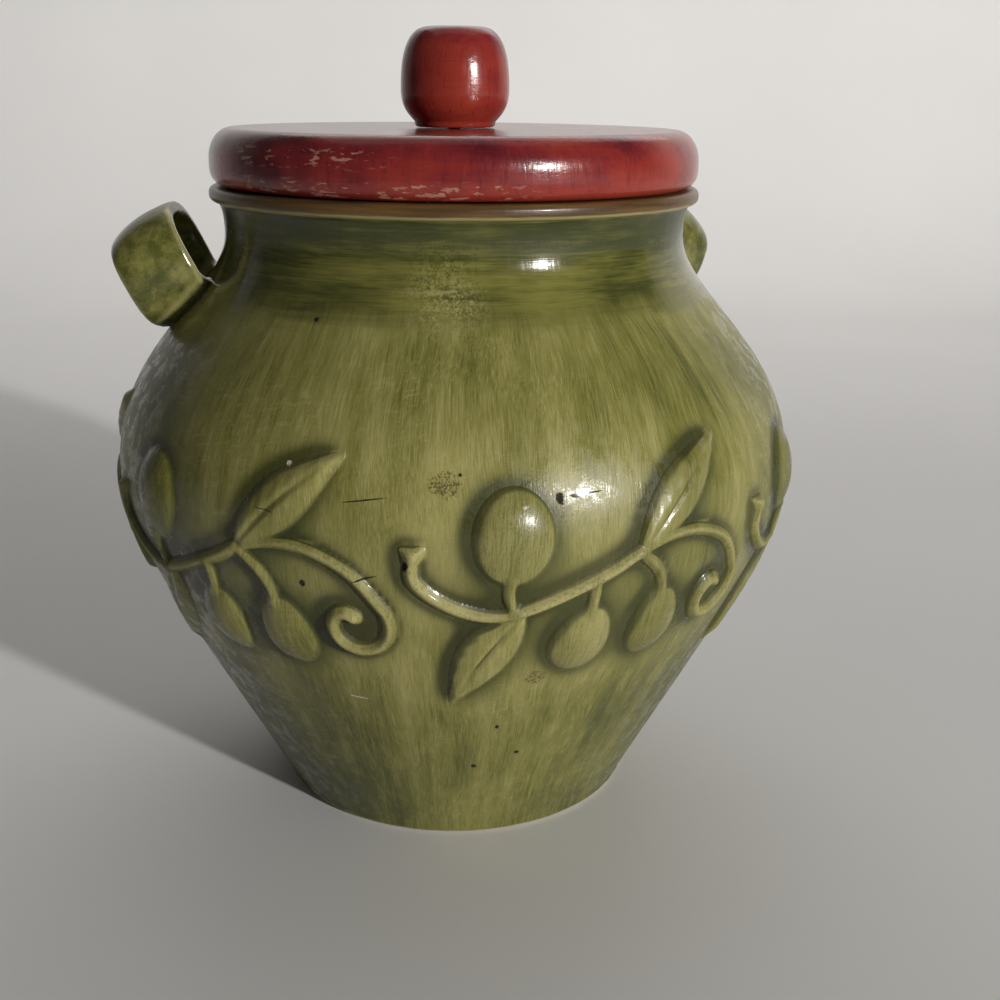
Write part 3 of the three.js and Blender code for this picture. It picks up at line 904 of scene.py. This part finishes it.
def mend_normals(mesh, sharp=None):
    """Points every face outwards, and keeps edges sharper than an angle crisp."""
    work = bmesh.new()
    work.from_mesh(mesh)
    bmesh.ops.recalc_face_normals(work, faces=work.faces)
    work.to_mesh(mesh)
    work.free()
    if sharp:
        mesh.set_sharp_from_angle(angle=math.radians(sharp))


def turned(name, line, segments, material, sharp=None):
    """A round piece from its line; edges sharper than an angle stay crisp."""
    points = np.c_[line[:, 0], np.zeros(len(line)), line[:, 1]]
    piece = TURNED.made(name, plain_mesh(name, points), Segments=segments, Material=material)
    mend_normals(piece.data, sharp)
    return piece


def dress(piece, body, slot, *nodes):
    """Puts a finished piece on its body, in place of the CAD nodes that it stands for."""
    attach(piece, body)
    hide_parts(*nodes)


# Olive sprays as a field of heights over the unrolled wall

def spot(place):
    """A place of the drawing, round the belly and up."""
    share, rise = place
    return np.array([share * spray_pitch * belly_radius, BELLY_HEIGHT + rise])


def smooth_route(points, steps=ROUTE_STEPS):
    """A Catmull-Rom curve through points."""
    points = np.array(points, float)
    padded = np.vstack([2 * points[0] - points[1], points, 2 * points[-1] - points[-2]])
    share = np.linspace(0, 1, steps, endpoint=False)[:, None]
    runs = []
    for a, b, c, d in zip(padded, padded[1:], padded[2:], padded[3:]):
        runs.append(0.5 * (2 * b + (c - a) * share + (2 * a - 5 * b + 4 * c - d) * share ** 2
                           + (3 * b - a - 3 * c + d) * share ** 3))
    return np.vstack([*runs, points[-1:]])


def soft_max(first, second, reach):
    """The larger of two fields, rounded where they meet."""
    near = np.clip(reach - np.abs(first - second), 0, None)
    return np.maximum(first, second) + near ** 2 / (4 * reach)


def vine_field(grid, route, radii):
    """Heights of a round stem that swells along its route."""
    radii = np.interp(np.linspace(0, 1, len(route)), np.linspace(0, 1, len(radii)), radii)
    best = np.full(grid.shape[:2], -np.inf)
    for a, b, width_a, width_b in zip(route, route[1:], radii, radii[1:]):
        along = b - a
        share = np.clip(((grid - a) @ along) / max(along @ along, WELD), 0, 1)
        away = np.linalg.norm(grid - a - share[..., None] * along, axis=-1)
        width = width_a + (width_b - width_a) * share
        dome = VINE_ROUNDNESS * np.minimum(width, TENDRIL_RADIUS) * (1 - (away / width) ** 2)
        best = np.maximum(best, np.where(away < width, dome, VINE_SLOPE * (width - away)))
    return best


def olive_field(grid, olive):
    """Heights of an olive, narrower towards its stalk."""
    tilt = math.radians(olive["tilt"])
    offset = grid - spot(olive["place"])
    across = offset[..., 0] * math.cos(tilt) + offset[..., 1] * math.sin(tilt)
    up = offset[..., 1] * math.cos(tilt) - offset[..., 0] * math.sin(tilt)
    half_width, half_length = olive["width"] / 2, olive["length"] / 2
    share = np.clip(up / half_length, -1, 1)
    spread = half_width * (1 - OLIVE_TAPER * olive["taper"] * share)
    reach = np.hypot(across / spread, up / half_length)
    dome = OLIVE_LIFT * np.clip(1 - reach ** 2, 0, None) ** OLIVE_ROUNDNESS
    return np.where(reach < 1, dome, OLIVE_SLOPE * half_width * (1 - reach))


def leaf_field(grid, leaf):
    """Heights of a pointed leaf with a sunk vein and faint side veins."""
    root, tip = spot(leaf["root"]), spot(leaf["tip"])
    length = np.linalg.norm(tip - root)
    along = (tip - root) / length
    share = (grid - root) @ along / length
    inside = np.clip(share, 0, 1)
    bow = 4 * leaf["bow"] * inside * (1 - inside)
    off = (grid - root) @ np.array([-along[1], along[0]]) - bow
    width = leaf["half_width"] * np.sin(math.pi * inside ** LEAF_FULLNESS) + LEAF_POINT
    ends = np.abs(share - inside) * length
    edge = width - np.hypot(off, ends)
    across = np.clip(np.abs(off) / width, 0, 1)
    blade = LEAF_LIFT * (1 - across ** LEAF_EDGE) * np.clip(width / LEAF_THIN_WIDTH, 0, 1)
    vein = VEIN_DEPTH * np.exp(-(off / VEIN_HALF_WIDTH) ** 2) * np.clip((VEIN_END - inside) * VEIN_FADE, 0, 1)
    ripple = np.sin(2 * math.pi * (SIDE_VEINS * inside - SIDE_VEIN_SLANT * across)) * across * (1 - across)
    return np.where(edge > 0, blade - vein * (1 - across) + 4 * SIDE_VEIN_DEPTH * ripple, LEAF_SLOPE * edge)


def curl_route():
    """The tendril's spiral end, which tightens towards its tip."""
    share = np.linspace(0, 1, CURL_STEPS)
    angle = np.radians(CURL_START - CURL_SWEEP * share)
    radius = CURL_RADIUS + (CURL_END_RADIUS - CURL_RADIUS) * share ** CURL_EASE
    return spot(CURL_CENTRE) + radius[:, None] * np.c_[np.cos(angle), np.sin(angle)]


def blurred(field, spread):
    """A field smoothed over a distance in millimetres."""
    reach = int(3 * spread / RELIEF_STEP)
    kernel = np.exp(-0.5 * (np.arange(-reach, reach + 1) * RELIEF_STEP / spread) ** 2)
    kernel /= kernel.sum()
    for axis in (0, 1):
        field = np.apply_along_axis(np.convolve, axis, field, kernel, mode="same")
    return field


def spray_field():
    """The drawing's grid, and the heights above the wall with their pooling and painted shade."""
    low, high = spot(DRAWING_LOW), spot(DRAWING_HIGH)
    across = np.arange(low[0], high[0], RELIEF_STEP)
    up = np.arange(low[1], high[1], RELIEF_STEP)
    grid = np.stack(np.meshgrid(across, up, indexing="ij"), axis=-1)
    spiral = curl_route()
    stem = smooth_route([spot(p) for p in STEM_ROUTE])
    tendril = smooth_route([*(spot(p) for p in TENDRIL_ROUTE), *spiral[::CURL_STRIDE]], ROUTE_STEPS // 2)
    cut = VINE_SLOPE * (spot(STEM_ROUTE[0])[1] + STEM_CUT_RISE - grid[..., 1])
    stem_end = vine_field(grid, stem, [STEM_END_RADIUS] + [STEM_RADIUS] * (STEM_END_STEPS + 1))
    fields = [
        np.where(grid[..., 0] < spot((STEM_END_SHARE, 0))[0], np.minimum(stem_end, cut),
                 vine_field(grid, stem, [STEM_RADIUS])),
        vine_field(grid, tendril, [TENDRIL_ROOT_RADIUS, STEM_RADIUS, TENDRIL_RADIUS, TENDRIL_RADIUS]),
    ]
    for olive in OLIVES:
        stalk = [spot(p) for p in olive["stalk"]]
        stalk.append(stalk[-1] + STALK_INTO_OLIVE * (spot(olive["place"]) - stalk[-1]))
        stalk = vine_field(grid, smooth_route(stalk), [STALK_RADIUS])
        fields.append(soft_max(stalk, olive_field(grid, olive), OLIVE_JOIN_REACH))
    fields.extend(leaf_field(grid, leaf) for leaf in LEAVES)
    raw = fields[0]
    for field in fields[1:]:
        raw = soft_max(raw, field, JOIN_REACH)
    heights = blurred(soft_max(raw, np.zeros_like(raw), FILLET_REACH), CLAY_SOFTNESS)
    near = blurred(heights, POOL_NEAR) - heights
    # The far blur, shifted left and up, adds painted shade beside the raised forms; the broad blur paints
    # wider shade and pooling round them
    drag = [round(shift / RELIEF_STEP) for shift in POOL_AND_SHADE_DRAG]
    far = np.roll(blurred(heights, POOL_FAR), drag, (0, 1)) - heights
    pool = np.clip(np.where(near > 0, near, POOL_CREST * near) + POOL_SHADE * np.clip(far, 0, None), -1, 1)
    broad = np.clip(blurred(heights, POOL_BROAD) - heights, 0, 1)
    vines, fruit = (blurred(np.clip(np.max(part, axis=0) + 1, 0, 1), CLAY_SOFTNESS)
                    for part in (fields[:2], fields[2:2 + len(OLIVES)]))
    return across, up, grid, heights, {"pool": pool, "broad_pool": broad, "vine": vines, "fruit": fruit}


across_line, up_line, relief_grid, relief_heights, relief_pools = spray_field()


def pool_at(points, field):
    """A relief field, such as the pooling and painted shade, on the wall between and beside the sprays."""
    angle = np.arctan2(points[:, 0], -points[:, 1]) - math.radians(SPRAY_TURN)
    pool = np.zeros(len(points))
    for lap in (-1, 0, 1):
        share = (angle / spray_pitch + 0.5) % 1 - 0.5 + lap
        column = (share * spray_pitch * belly_radius - across_line[0]) / RELIEF_STEP
        row = (points[:, 2] - up_line[0]) / RELIEF_STEP
        i, j = np.floor(column).astype(int), np.floor(row).astype(int)
        held = (i >= 0) & (j >= 0) & (i < len(across_line) - 1) & (j < len(up_line) - 1)
        i, j, s, t = i[held], j[held], (column - i)[held], (row - j)[held]
        value = (field[i, j] * (1 - s) * (1 - t) + field[i + 1, j] * s * (1 - t)
                 + field[i, j + 1] * (1 - s) * t + field[i + 1, j + 1] * s * t)
        strongest = np.abs(value) > np.abs(pool[held])
        pool[held] = np.where(strongest, value, pool[held])
    return pool


def spray_drawing():
    """The flat drawing as a closed mesh: its face follows the heights and dips under the wall at its edge."""
    inside = relief_heights > EDGE_LIFT
    cells = inside[:-1, :-1] & inside[1:, :-1] & inside[:-1, 1:] & inside[1:, 1:]
    i, j = np.nonzero(cells)
    rows = inside.shape[1]
    corners = np.stack([i * rows + j, (i + 1) * rows + j, (i + 1) * rows + j + 1, i * rows + j + 1], axis=1)
    used, faces = np.unique(corners, return_inverse=True)
    faces = faces.reshape(-1, 4)
    spots = relief_grid.reshape(-1, 2)[used]
    lift = relief_heights.reshape(-1)[used]
    fade = np.clip((lift - EDGE_LIFT) / EDGE_SINK, 0, 1)
    lift = lift - EDGE_SINK * (1 - fade * fade * (3 - 2 * fade))
    front = np.c_[spots[:, 0], lift, spots[:, 1]]
    back = np.c_[spots[:, 0], np.full(len(spots), -SPRAY_BACK), spots[:, 1]]
    edges = np.vstack([faces[:, [k, (k + 1) % 4]] for k in range(4)])
    seen = {tuple(edge) for edge in edges.tolist()}
    rim = np.array([edge for edge in edges.tolist() if (edge[1], edge[0]) not in seen])
    count = len(front)
    sides = np.c_[rim[:, 1], rim[:, 0], rim[:, 0] + count, rim[:, 1] + count]
    radius, out_r, out_z = wall_at(np.r_[spots[:, 1], spots[:, 1]])
    pools = {name: np.tile(field.reshape(-1)[used], 2) for name, field in relief_pools.items()}
    return plain_mesh(
        "spray_drawing", np.vstack([front, back]), np.vstack([faces, faces[:, ::-1] + count, sides]),
        wall_radius=radius * MM, out_radius=out_r, out_height=out_z, **pools,
    )


def olive_sprays(material):
    drawing = spray_drawing()
    for number, node in enumerate(spray_nodes):
        piece = WRAPPED.made(
            f"{node}_relief", drawing, Turn=math.radians(SPRAY_TURN) + number * spray_pitch,
            Belly_radius=belly_radius * MM, Material=material,
        )
        mend_normals(piece.data)
        dress(piece, "jar", "olive_glaze", node)


# The jar and its handles

def jar_line():
    """The jar's outline, from the middle of its underside out and over the lip to the middle of its floor."""
    ring_inside = FOOT_RADIUS - FOOT_EDGE - FOOT_RING_WIDTH
    recess = ring_inside - FOOT_RECESS
    lining = beside(join(bezier(FLARE, LINING_STEPS), bezier(SHOULDER, LINING_STEPS)), -WALL)
    round_top = floor_height + FLOOR_ROUND
    corner = np.array([np.interp(floor_height, lining[:, 1], lining[:, 0]), floor_height])
    basin = np.array([np.interp(round_top, lining[:, 1], lining[:, 0]), round_top])
    band_top = rim_height - LIP_ROUND
    return join(
        run((0, FOOT_RECESS), (recess, FOOT_RECESS), FLAT_STEPS),
        quarter((recess, FOOT_RECESS), (recess, 0), (ring_inside, 0), FLAT_STEPS),
        quarter((FOOT_RADIUS - FOOT_EDGE, 0), (FOOT_RADIUS, 0), (FOOT_RADIUS, FOOT_EDGE)),
        wall_line,
        bezier([(NECK_RADIUS, neck_height), (NECK_RADIUS, lip_height - NECK_FLARE),
                (NECK_RADIUS + NECK_FLARE, lip_height)], EDGE_STEPS),
        quarter((NECK_RADIUS + NECK_FLARE, lip_height), (lip_radius, lip_height),
                (lip_radius, lip_height + LIP_ROUND)),
        quarter((lip_radius, band_top), (lip_radius, rim_height), (lip_radius - LIP_ROUND, rim_height)),
        quarter((mouth_radius + LIP_ROUND, rim_height), (mouth_radius, rim_height), (mouth_radius, band_top)),
        lining[lining[:, 1] > round_top][::-1],
        quarter(basin, corner, corner - (FLOOR_ROUND, 0)),
        run(corner - (FLOOR_ROUND, 0), (0, floor_height), FLAT_STEPS),
    )


def points_of(mesh):
    """A mesh's points, in millimetres."""
    points = np.empty(len(mesh.vertices) * 3, np.float32)
    mesh.vertices.foreach_get("co", points)
    return points.reshape(-1, 3).astype(float) / MM


def glazed_jar(material):
    piece = turned("jar_glazed", jar_line(), JAR_SEGMENTS, material)
    points = points_of(piece.data)
    outside = off_wall(points)
    height = points[:, 2]
    deep = (outside < -WALL / 2) & (height > FOOT_RECESS + FLOOR / 2) & (height < rim_height - LIP_ROUND)
    for name, field in relief_pools.items():
        write_attribute(piece.data, name, np.where(np.abs(outside) < WALL / 4, pool_at(points, field), 0))
    write_attribute(piece.data, "lining", deep)
    dress(piece, "jar", "olive_glaze", "jar_body")


def loop_handle(node, degrees, material):
    """A clay strap bent to a loop, with worn edges, a pale band near its foot that is partly a painted
    highlight, pooled glaze and painted shade at its seam, and a foot smoothed into the shoulder.
    """
    piece = LOOPED.made(
        f"{node}_loop", bpy.data.meshes.new(node), Turn=math.radians(degrees), Span=HANDLE_SPAN * MM,
        Rise=HANDLE_RISE * MM, Width=HANDLE_WIDTH * MM, Thickness=HANDLE_THICKNESS * MM,
        Crown=HANDLE_CROWN * MM, Material=material,
    )
    mesh = piece.data
    mend_normals(mesh)
    points = points_of(mesh)
    normals = np.array([normal.vector for normal in mesh.vertex_normals])
    flare = CLAY_FILLET * np.clip(1 - off_wall(points) / CLAY_FILLET_REACH, 0, 1) ** 2
    points += normals * flare[:, None]
    mesh.vertices.foreach_set("co", (points * MM).astype(np.float32).ravel())
    mesh.update()
    across = np.array([value.value for value in mesh.attributes["across"].data])
    above = off_wall(points)
    # The seam darkens with pooled glaze and painted shade; the rims and the band a few millimetres off the
    # shoulder are paler, the band partly thin glaze and partly a painted highlight
    seam_pool_and_shade = np.clip(1 - above / SEAM_REACH, 0, 1)
    thin_and_highlight = np.clip(1 - np.abs(above - THIN_HEIGHT) / THIN_REACH, 0, 1)
    rim = np.clip((np.abs(across) - STRAP_RIM) / (1 - STRAP_RIM), 0, 1)
    write_attribute(mesh, "pool", seam_pool_and_shade - (RIM_WEAR * rim + THIN_AND_HIGHLIGHT * thin_and_highlight) * (1 - seam_pool_and_shade))
    write_attribute(mesh, "strap", np.ones(len(points)))
    dress(piece, "jar", "olive_glaze", node)


# The lid

def wooden(node, line, segments, material, sharp):
    """A turned piece of the lid's wood, in place of its CAD node."""
    dress(turned(f"{node}_turned", line, segments, material, sharp), "lid", "red_stained_wood", node)


def lid_board(material):
    low, high = board_base + LID_EDGE_LOW, board_top - LID_EDGE_HIGH
    under, over = lid_radius - LID_EDGE_UNDER, lid_radius - LID_EDGE_OVER
    line = join(
        run((bore_radius, board_base), (under, board_base), BOARD_STEPS),
        quarter((under, board_base), (lid_radius, board_base), (lid_radius, low), UNDER_EDGE_STEPS),
        quarter((lid_radius, high), (lid_radius, board_top), (over, board_top), OVER_EDGE_STEPS),
        run((over - LID_BEVEL, board_top), (bore_radius, board_top), BOARD_STEPS),
        [(bore_radius, board_base)],
    )
    wooden("lid_board", line, LID_SEGMENTS, material, ROUND_CREASE)


def lid_plug(material):
    sink_radius = SCREW_HEAD_RADIUS + SEAT_GAP
    sink_top = screw_base + SCREW_HEAD_HEIGHT + SEAT_GAP
    low, high = seal_base - SEAT_GAP, seal_top + SEAT_GAP
    line = join(
        [(sink_radius, plug_base)],
        quarter((plug_radius - LID_BEVEL, plug_base), (plug_radius, plug_base),
                (plug_radius, plug_base + LID_BEVEL), FLAT_STEPS),
        [(plug_radius, low), (groove_radius, low), (groove_radius, high), (plug_radius, high)],
        [(plug_radius, plug_top), (bore_radius, plug_top), (bore_radius, sink_top)],
        [(sink_radius, screw_base), (sink_radius, plug_base)],
    )
    wooden("lid_plug", line, LID_SEGMENTS, material, CREASE)


def seal_ring(material):
    inner = groove_radius + SEAT_GAP
    body = plug_radius + SEAL_LIP
    half = SEAL_FIN / 2
    edge = seal_radius - half

    def fin(base):
        middle, top = base + half, base + SEAL_FIN
        return np.vstack([
            quarter((edge, base), (seal_radius, base), (seal_radius, middle), FIN_STEPS),
            quarter((seal_radius, middle), (seal_radius, top), (edge, top), FIN_STEPS),
        ])

    line = join(
        [(inner, seal_base)],
        fin(seal_base),
        [(body, seal_base + SEAL_FIN), (body, seal_top - SEAL_FIN)],
        fin(seal_top - SEAL_FIN),
        [(inner, seal_top), (inner, seal_base)],
    )
    ring = turned("seal_ring_ribbed", line, LID_SEGMENTS, material, ROUND_CREASE)
    dress(ring, "seal", "seal_silicone", "seal_ring")


def ball_knob(material):
    widest = knob_base + KNOB_WIDEST
    bore_top = screw_tip + SEAT_GAP
    foot_top = knob_base + KNOB_FOOT
    turn = np.linspace(0, math.pi / 2, KNOB_STEPS + 1)
    dome = np.c_[np.cos(turn), np.sin(turn)] ** (2 / KNOB_SQUARENESS)
    line = join(
        [(0, bore_top), (bore_radius, bore_top), (bore_radius, knob_base)],
        quarter((KNOB_BASE_RADIUS - LID_BEVEL, knob_base), (KNOB_BASE_RADIUS, knob_base),
                (KNOB_BASE_RADIUS, foot_top), FLAT_STEPS),
        bezier([(KNOB_BASE_RADIUS, foot_top), (KNOB_BASE_RADIUS + KNOB_SWELL, foot_top + KNOB_SWELL),
                (knob_radius, (foot_top + widest) / 2), (knob_radius, widest)], KNOB_SIDE_STEPS),
        (KNOB_TOP_RADIUS, widest) + dome * (knob_radius - KNOB_TOP_RADIUS, knob_top - widest),
        run((KNOB_TOP_RADIUS, knob_top), (0, knob_top), FLAT_STEPS),
    )
    wooden("knob", line, KNOB_SEGMENTS, material, ROUND_CREASE)


def knob_screw(material):
    """The screw's head with its cross, and the threaded shank above it."""
    head_top = screw_base + SCREW_HEAD_HEIGHT
    core = SCREW_RADIUS - THREAD_DEPTH
    line = join(
        [(0, screw_base), (SCREW_HEAD_RADIUS - THREAD_DEPTH, screw_base)],
        [(SCREW_HEAD_RADIUS, screw_base + THREAD_DEPTH), (core, head_top)],
        [(core, screw_tip - SCREW_POINT), (0, screw_tip)],
    )
    blank = turned("screw_blank", line, SCREW_SEGMENTS, material, CREASE)
    cut_cross(blank)
    rise = SCREW_BITE - SCREW_POINT + head_top - screw_base
    piece = THREADED.made(
        "knob_screw_threaded", blank.data, Turns=rise / THREAD_PITCH, Rise=rise * MM, Radius=core * MM,
        Ridge=THREAD_DEPTH * MM, Base=(screw_tip - SCREW_POINT - rise) * MM, Material=material,
    )
    bpy.data.objects.remove(blank)
    piece.data.set_sharp_from_angle(angle=math.radians(CREASE))
    dress(piece, "lid", "screw_steel", "knob_screw")


def cut_cross(blank):
    """Cuts the cross into the screw's head."""
    arm, half = CROSS_LENGTH / 2, CROSS_WIDTH / 2
    outline = [(arm, -half), (arm, half), (half, half)]
    for _ in range(3):
        outline += [(-y, x) for x, y in outline[-3:]]
    count = len(outline)
    points = [(x, y, screw_base + side * CROSS_DEPTH) for side in (-1, 1) for x, y in outline]
    sides = [(i, (i + 1) % count, (i + 1) % count + count, i + count) for i in range(count)]
    ends = [tuple(range(count))[::-1], tuple(range(count, 2 * count))]
    cutter = add_object("screw_cross", plain_mesh("screw_cross", points, sides + ends))
    slot = blank.modifiers.new("cross", "BOOLEAN")
    slot.object = cutter
    slot.solver = "EXACT"
    view = bpy.context.evaluated_depsgraph_get()
    blank.data = bpy.data.meshes.new_from_object(blank.evaluated_get(view))
    blank.modifiers.clear()
    bpy.data.objects.remove(cutter)


# Stage

FLOOR_HALF = 5000
FLOOR_PALE = 700
FLOOR_FADE = 2600
SWEEP_START = 900
SWEEP_RADIUS = 500
SWEEP_TOP = 1700
FLOOR_LIGHT = rgb(0.78, 0.775, 0.77)
FLOOR_CLOUD = rgb(0.70, 0.695, 0.69)
FLOOR_FAR = rgb(0.16, 0.16, 0.16)
LIGHT_WARM = (1.0, 0.975, 0.94)
WORLD_COOL = rgb(0.95, 0.97, 1.0)
WORLD_STRENGTH = 0.045
SWEEP_STEPS = 24

# Soft panels: degrees round from the camera's side and up, distance and size in metres, power, aim, spread
LIGHTS = {
    "key": (41, 14, 4.0, (0.17, 0.17), 138, (0, 0, BELLY_HEIGHT), 180),
    "back_fill": (172, 50, 1.7, (1.6, 1.0), 4.5, (0, 0, BELLY_HEIGHT), 180),
    "overhead": (180, 75, 2.0, (2.0, 1.4), 3.4, (0, 900, 0), 180),
    "backdrop_glow": (180, 62, 1.6, (2.4, 0.6), 3.4, (0, 1400, 700), 130),
}


def pale_stage():
    """A floor that sweeps up into a backdrop."""
    angle = np.linspace(0, math.pi / 2, SWEEP_STEPS)
    curve = np.c_[SWEEP_START + SWEEP_RADIUS * np.sin(angle), SWEEP_RADIUS * (1 - np.cos(angle))]
    line = np.vstack([[(-FLOOR_HALF, 0)], curve, [(SWEEP_START + SWEEP_RADIUS, SWEEP_TOP)]])
    points = [(side * FLOOR_HALF, y, z) for y, z in line for side in (-1, 1)]
    faces = [(2 * i, 2 * i + 1, 2 * i + 3, 2 * i + 2) for i in range(len(line) - 1)]
    mesh = plain_mesh("pale_floor", points, faces)
    mesh.shade_smooth()
    finish = Finish("pale_floor")
    place = finish.coordinates()
    y = finish.parts(place)[1]
    cloudy = finish.noise(place, 0.004, 3.0, 0.5)
    pale = finish.mix(cloudy, FLOOR_CLOUD, FLOOR_LIGHT)
    mesh.materials.append(finish.shade(
        # Far in front of the jar the floor fades to dark grey: painted shade of an unlit room
        Base_Color=finish.mix(finish.step(y, -FLOOR_PALE, -FLOOR_FADE), pale, FLOOR_FAR),
        Roughness=0.9,
    ))
    add_object("pale_floor", mesh)


def studio_light(name, azimuth, elevation, distance, size, power, aim, spread):
    """A soft panel turned to its aim; the azimuth grows to the camera's right."""
    azimuth, elevation = math.radians(azimuth), math.radians(elevation)
    level = math.cos(elevation)
    light = bpy.data.lights.new(name, "AREA")
    light.shape = "RECTANGLE"
    light.size, light.size_y = size
    light.spread = math.radians(spread)
    light.energy = power
    light.color = LIGHT_WARM
    lamp = add_object(name, light)
    toward = Vector((math.sin(azimuth) * level, -math.cos(azimuth) * level, math.sin(elevation)))
    lamp.location = toward * distance
    lamp.rotation_euler = (lamp.location - Vector(aim) * MM).to_track_quat("Z", "Y").to_euler()


def soft_studio():
    world = bpy.data.worlds.new("studio")
    world.use_nodes = True
    background = world.node_tree.nodes["Background"]
    background.inputs["Color"].default_value = WORLD_COOL
    background.inputs["Strength"].default_value = WORLD_STRENGTH
    bpy.context.scene.world = world
    for name, settings in LIGHTS.items():
        studio_light(name, *settings)
    bpy.context.scene.view_settings.view_transform = "Standard"


def photograph_camera():
    pitch, yaw, roll = (math.radians(angle) for angle in (CAMERA_PITCH, CAMERA_YAW, CAMERA_ROLL))
    data = bpy.data.cameras.new("photograph")
    data.lens = LENS
    data.sensor_width = SENSOR
    camera = add_object("photograph", data)
    turn = Matrix.Rotation(-yaw, 4, "Z") @ Matrix.Rotation(math.pi / 2 - pitch, 4, "X")
    camera.matrix_world = Matrix.Translation(Vector(CAMERA_PLACE) * MM) @ turn @ Matrix.Rotation(roll, 4, "Z")
    bpy.context.scene.camera = camera


def main():
    photograph_camera()
    soft_studio()
    pale_stage()
    glaze = olive_glaze()
    glazed_jar(glaze)
    olive_sprays(glaze)
    for node, degrees in HANDLE_ANGLES.items():
        loop_handle(node, degrees, glaze)
    worn_wood = red_stained_wood("red_stained_wood_worn", chipped=True)
    wood = red_stained_wood("red_stained_wood", chipped=False)
    lid_board(worn_wood)
    lid_plug(wood)
    seal_ring(seal_silicone())
    ball_knob(wood)
    knob_screw(screw_steel())


main()
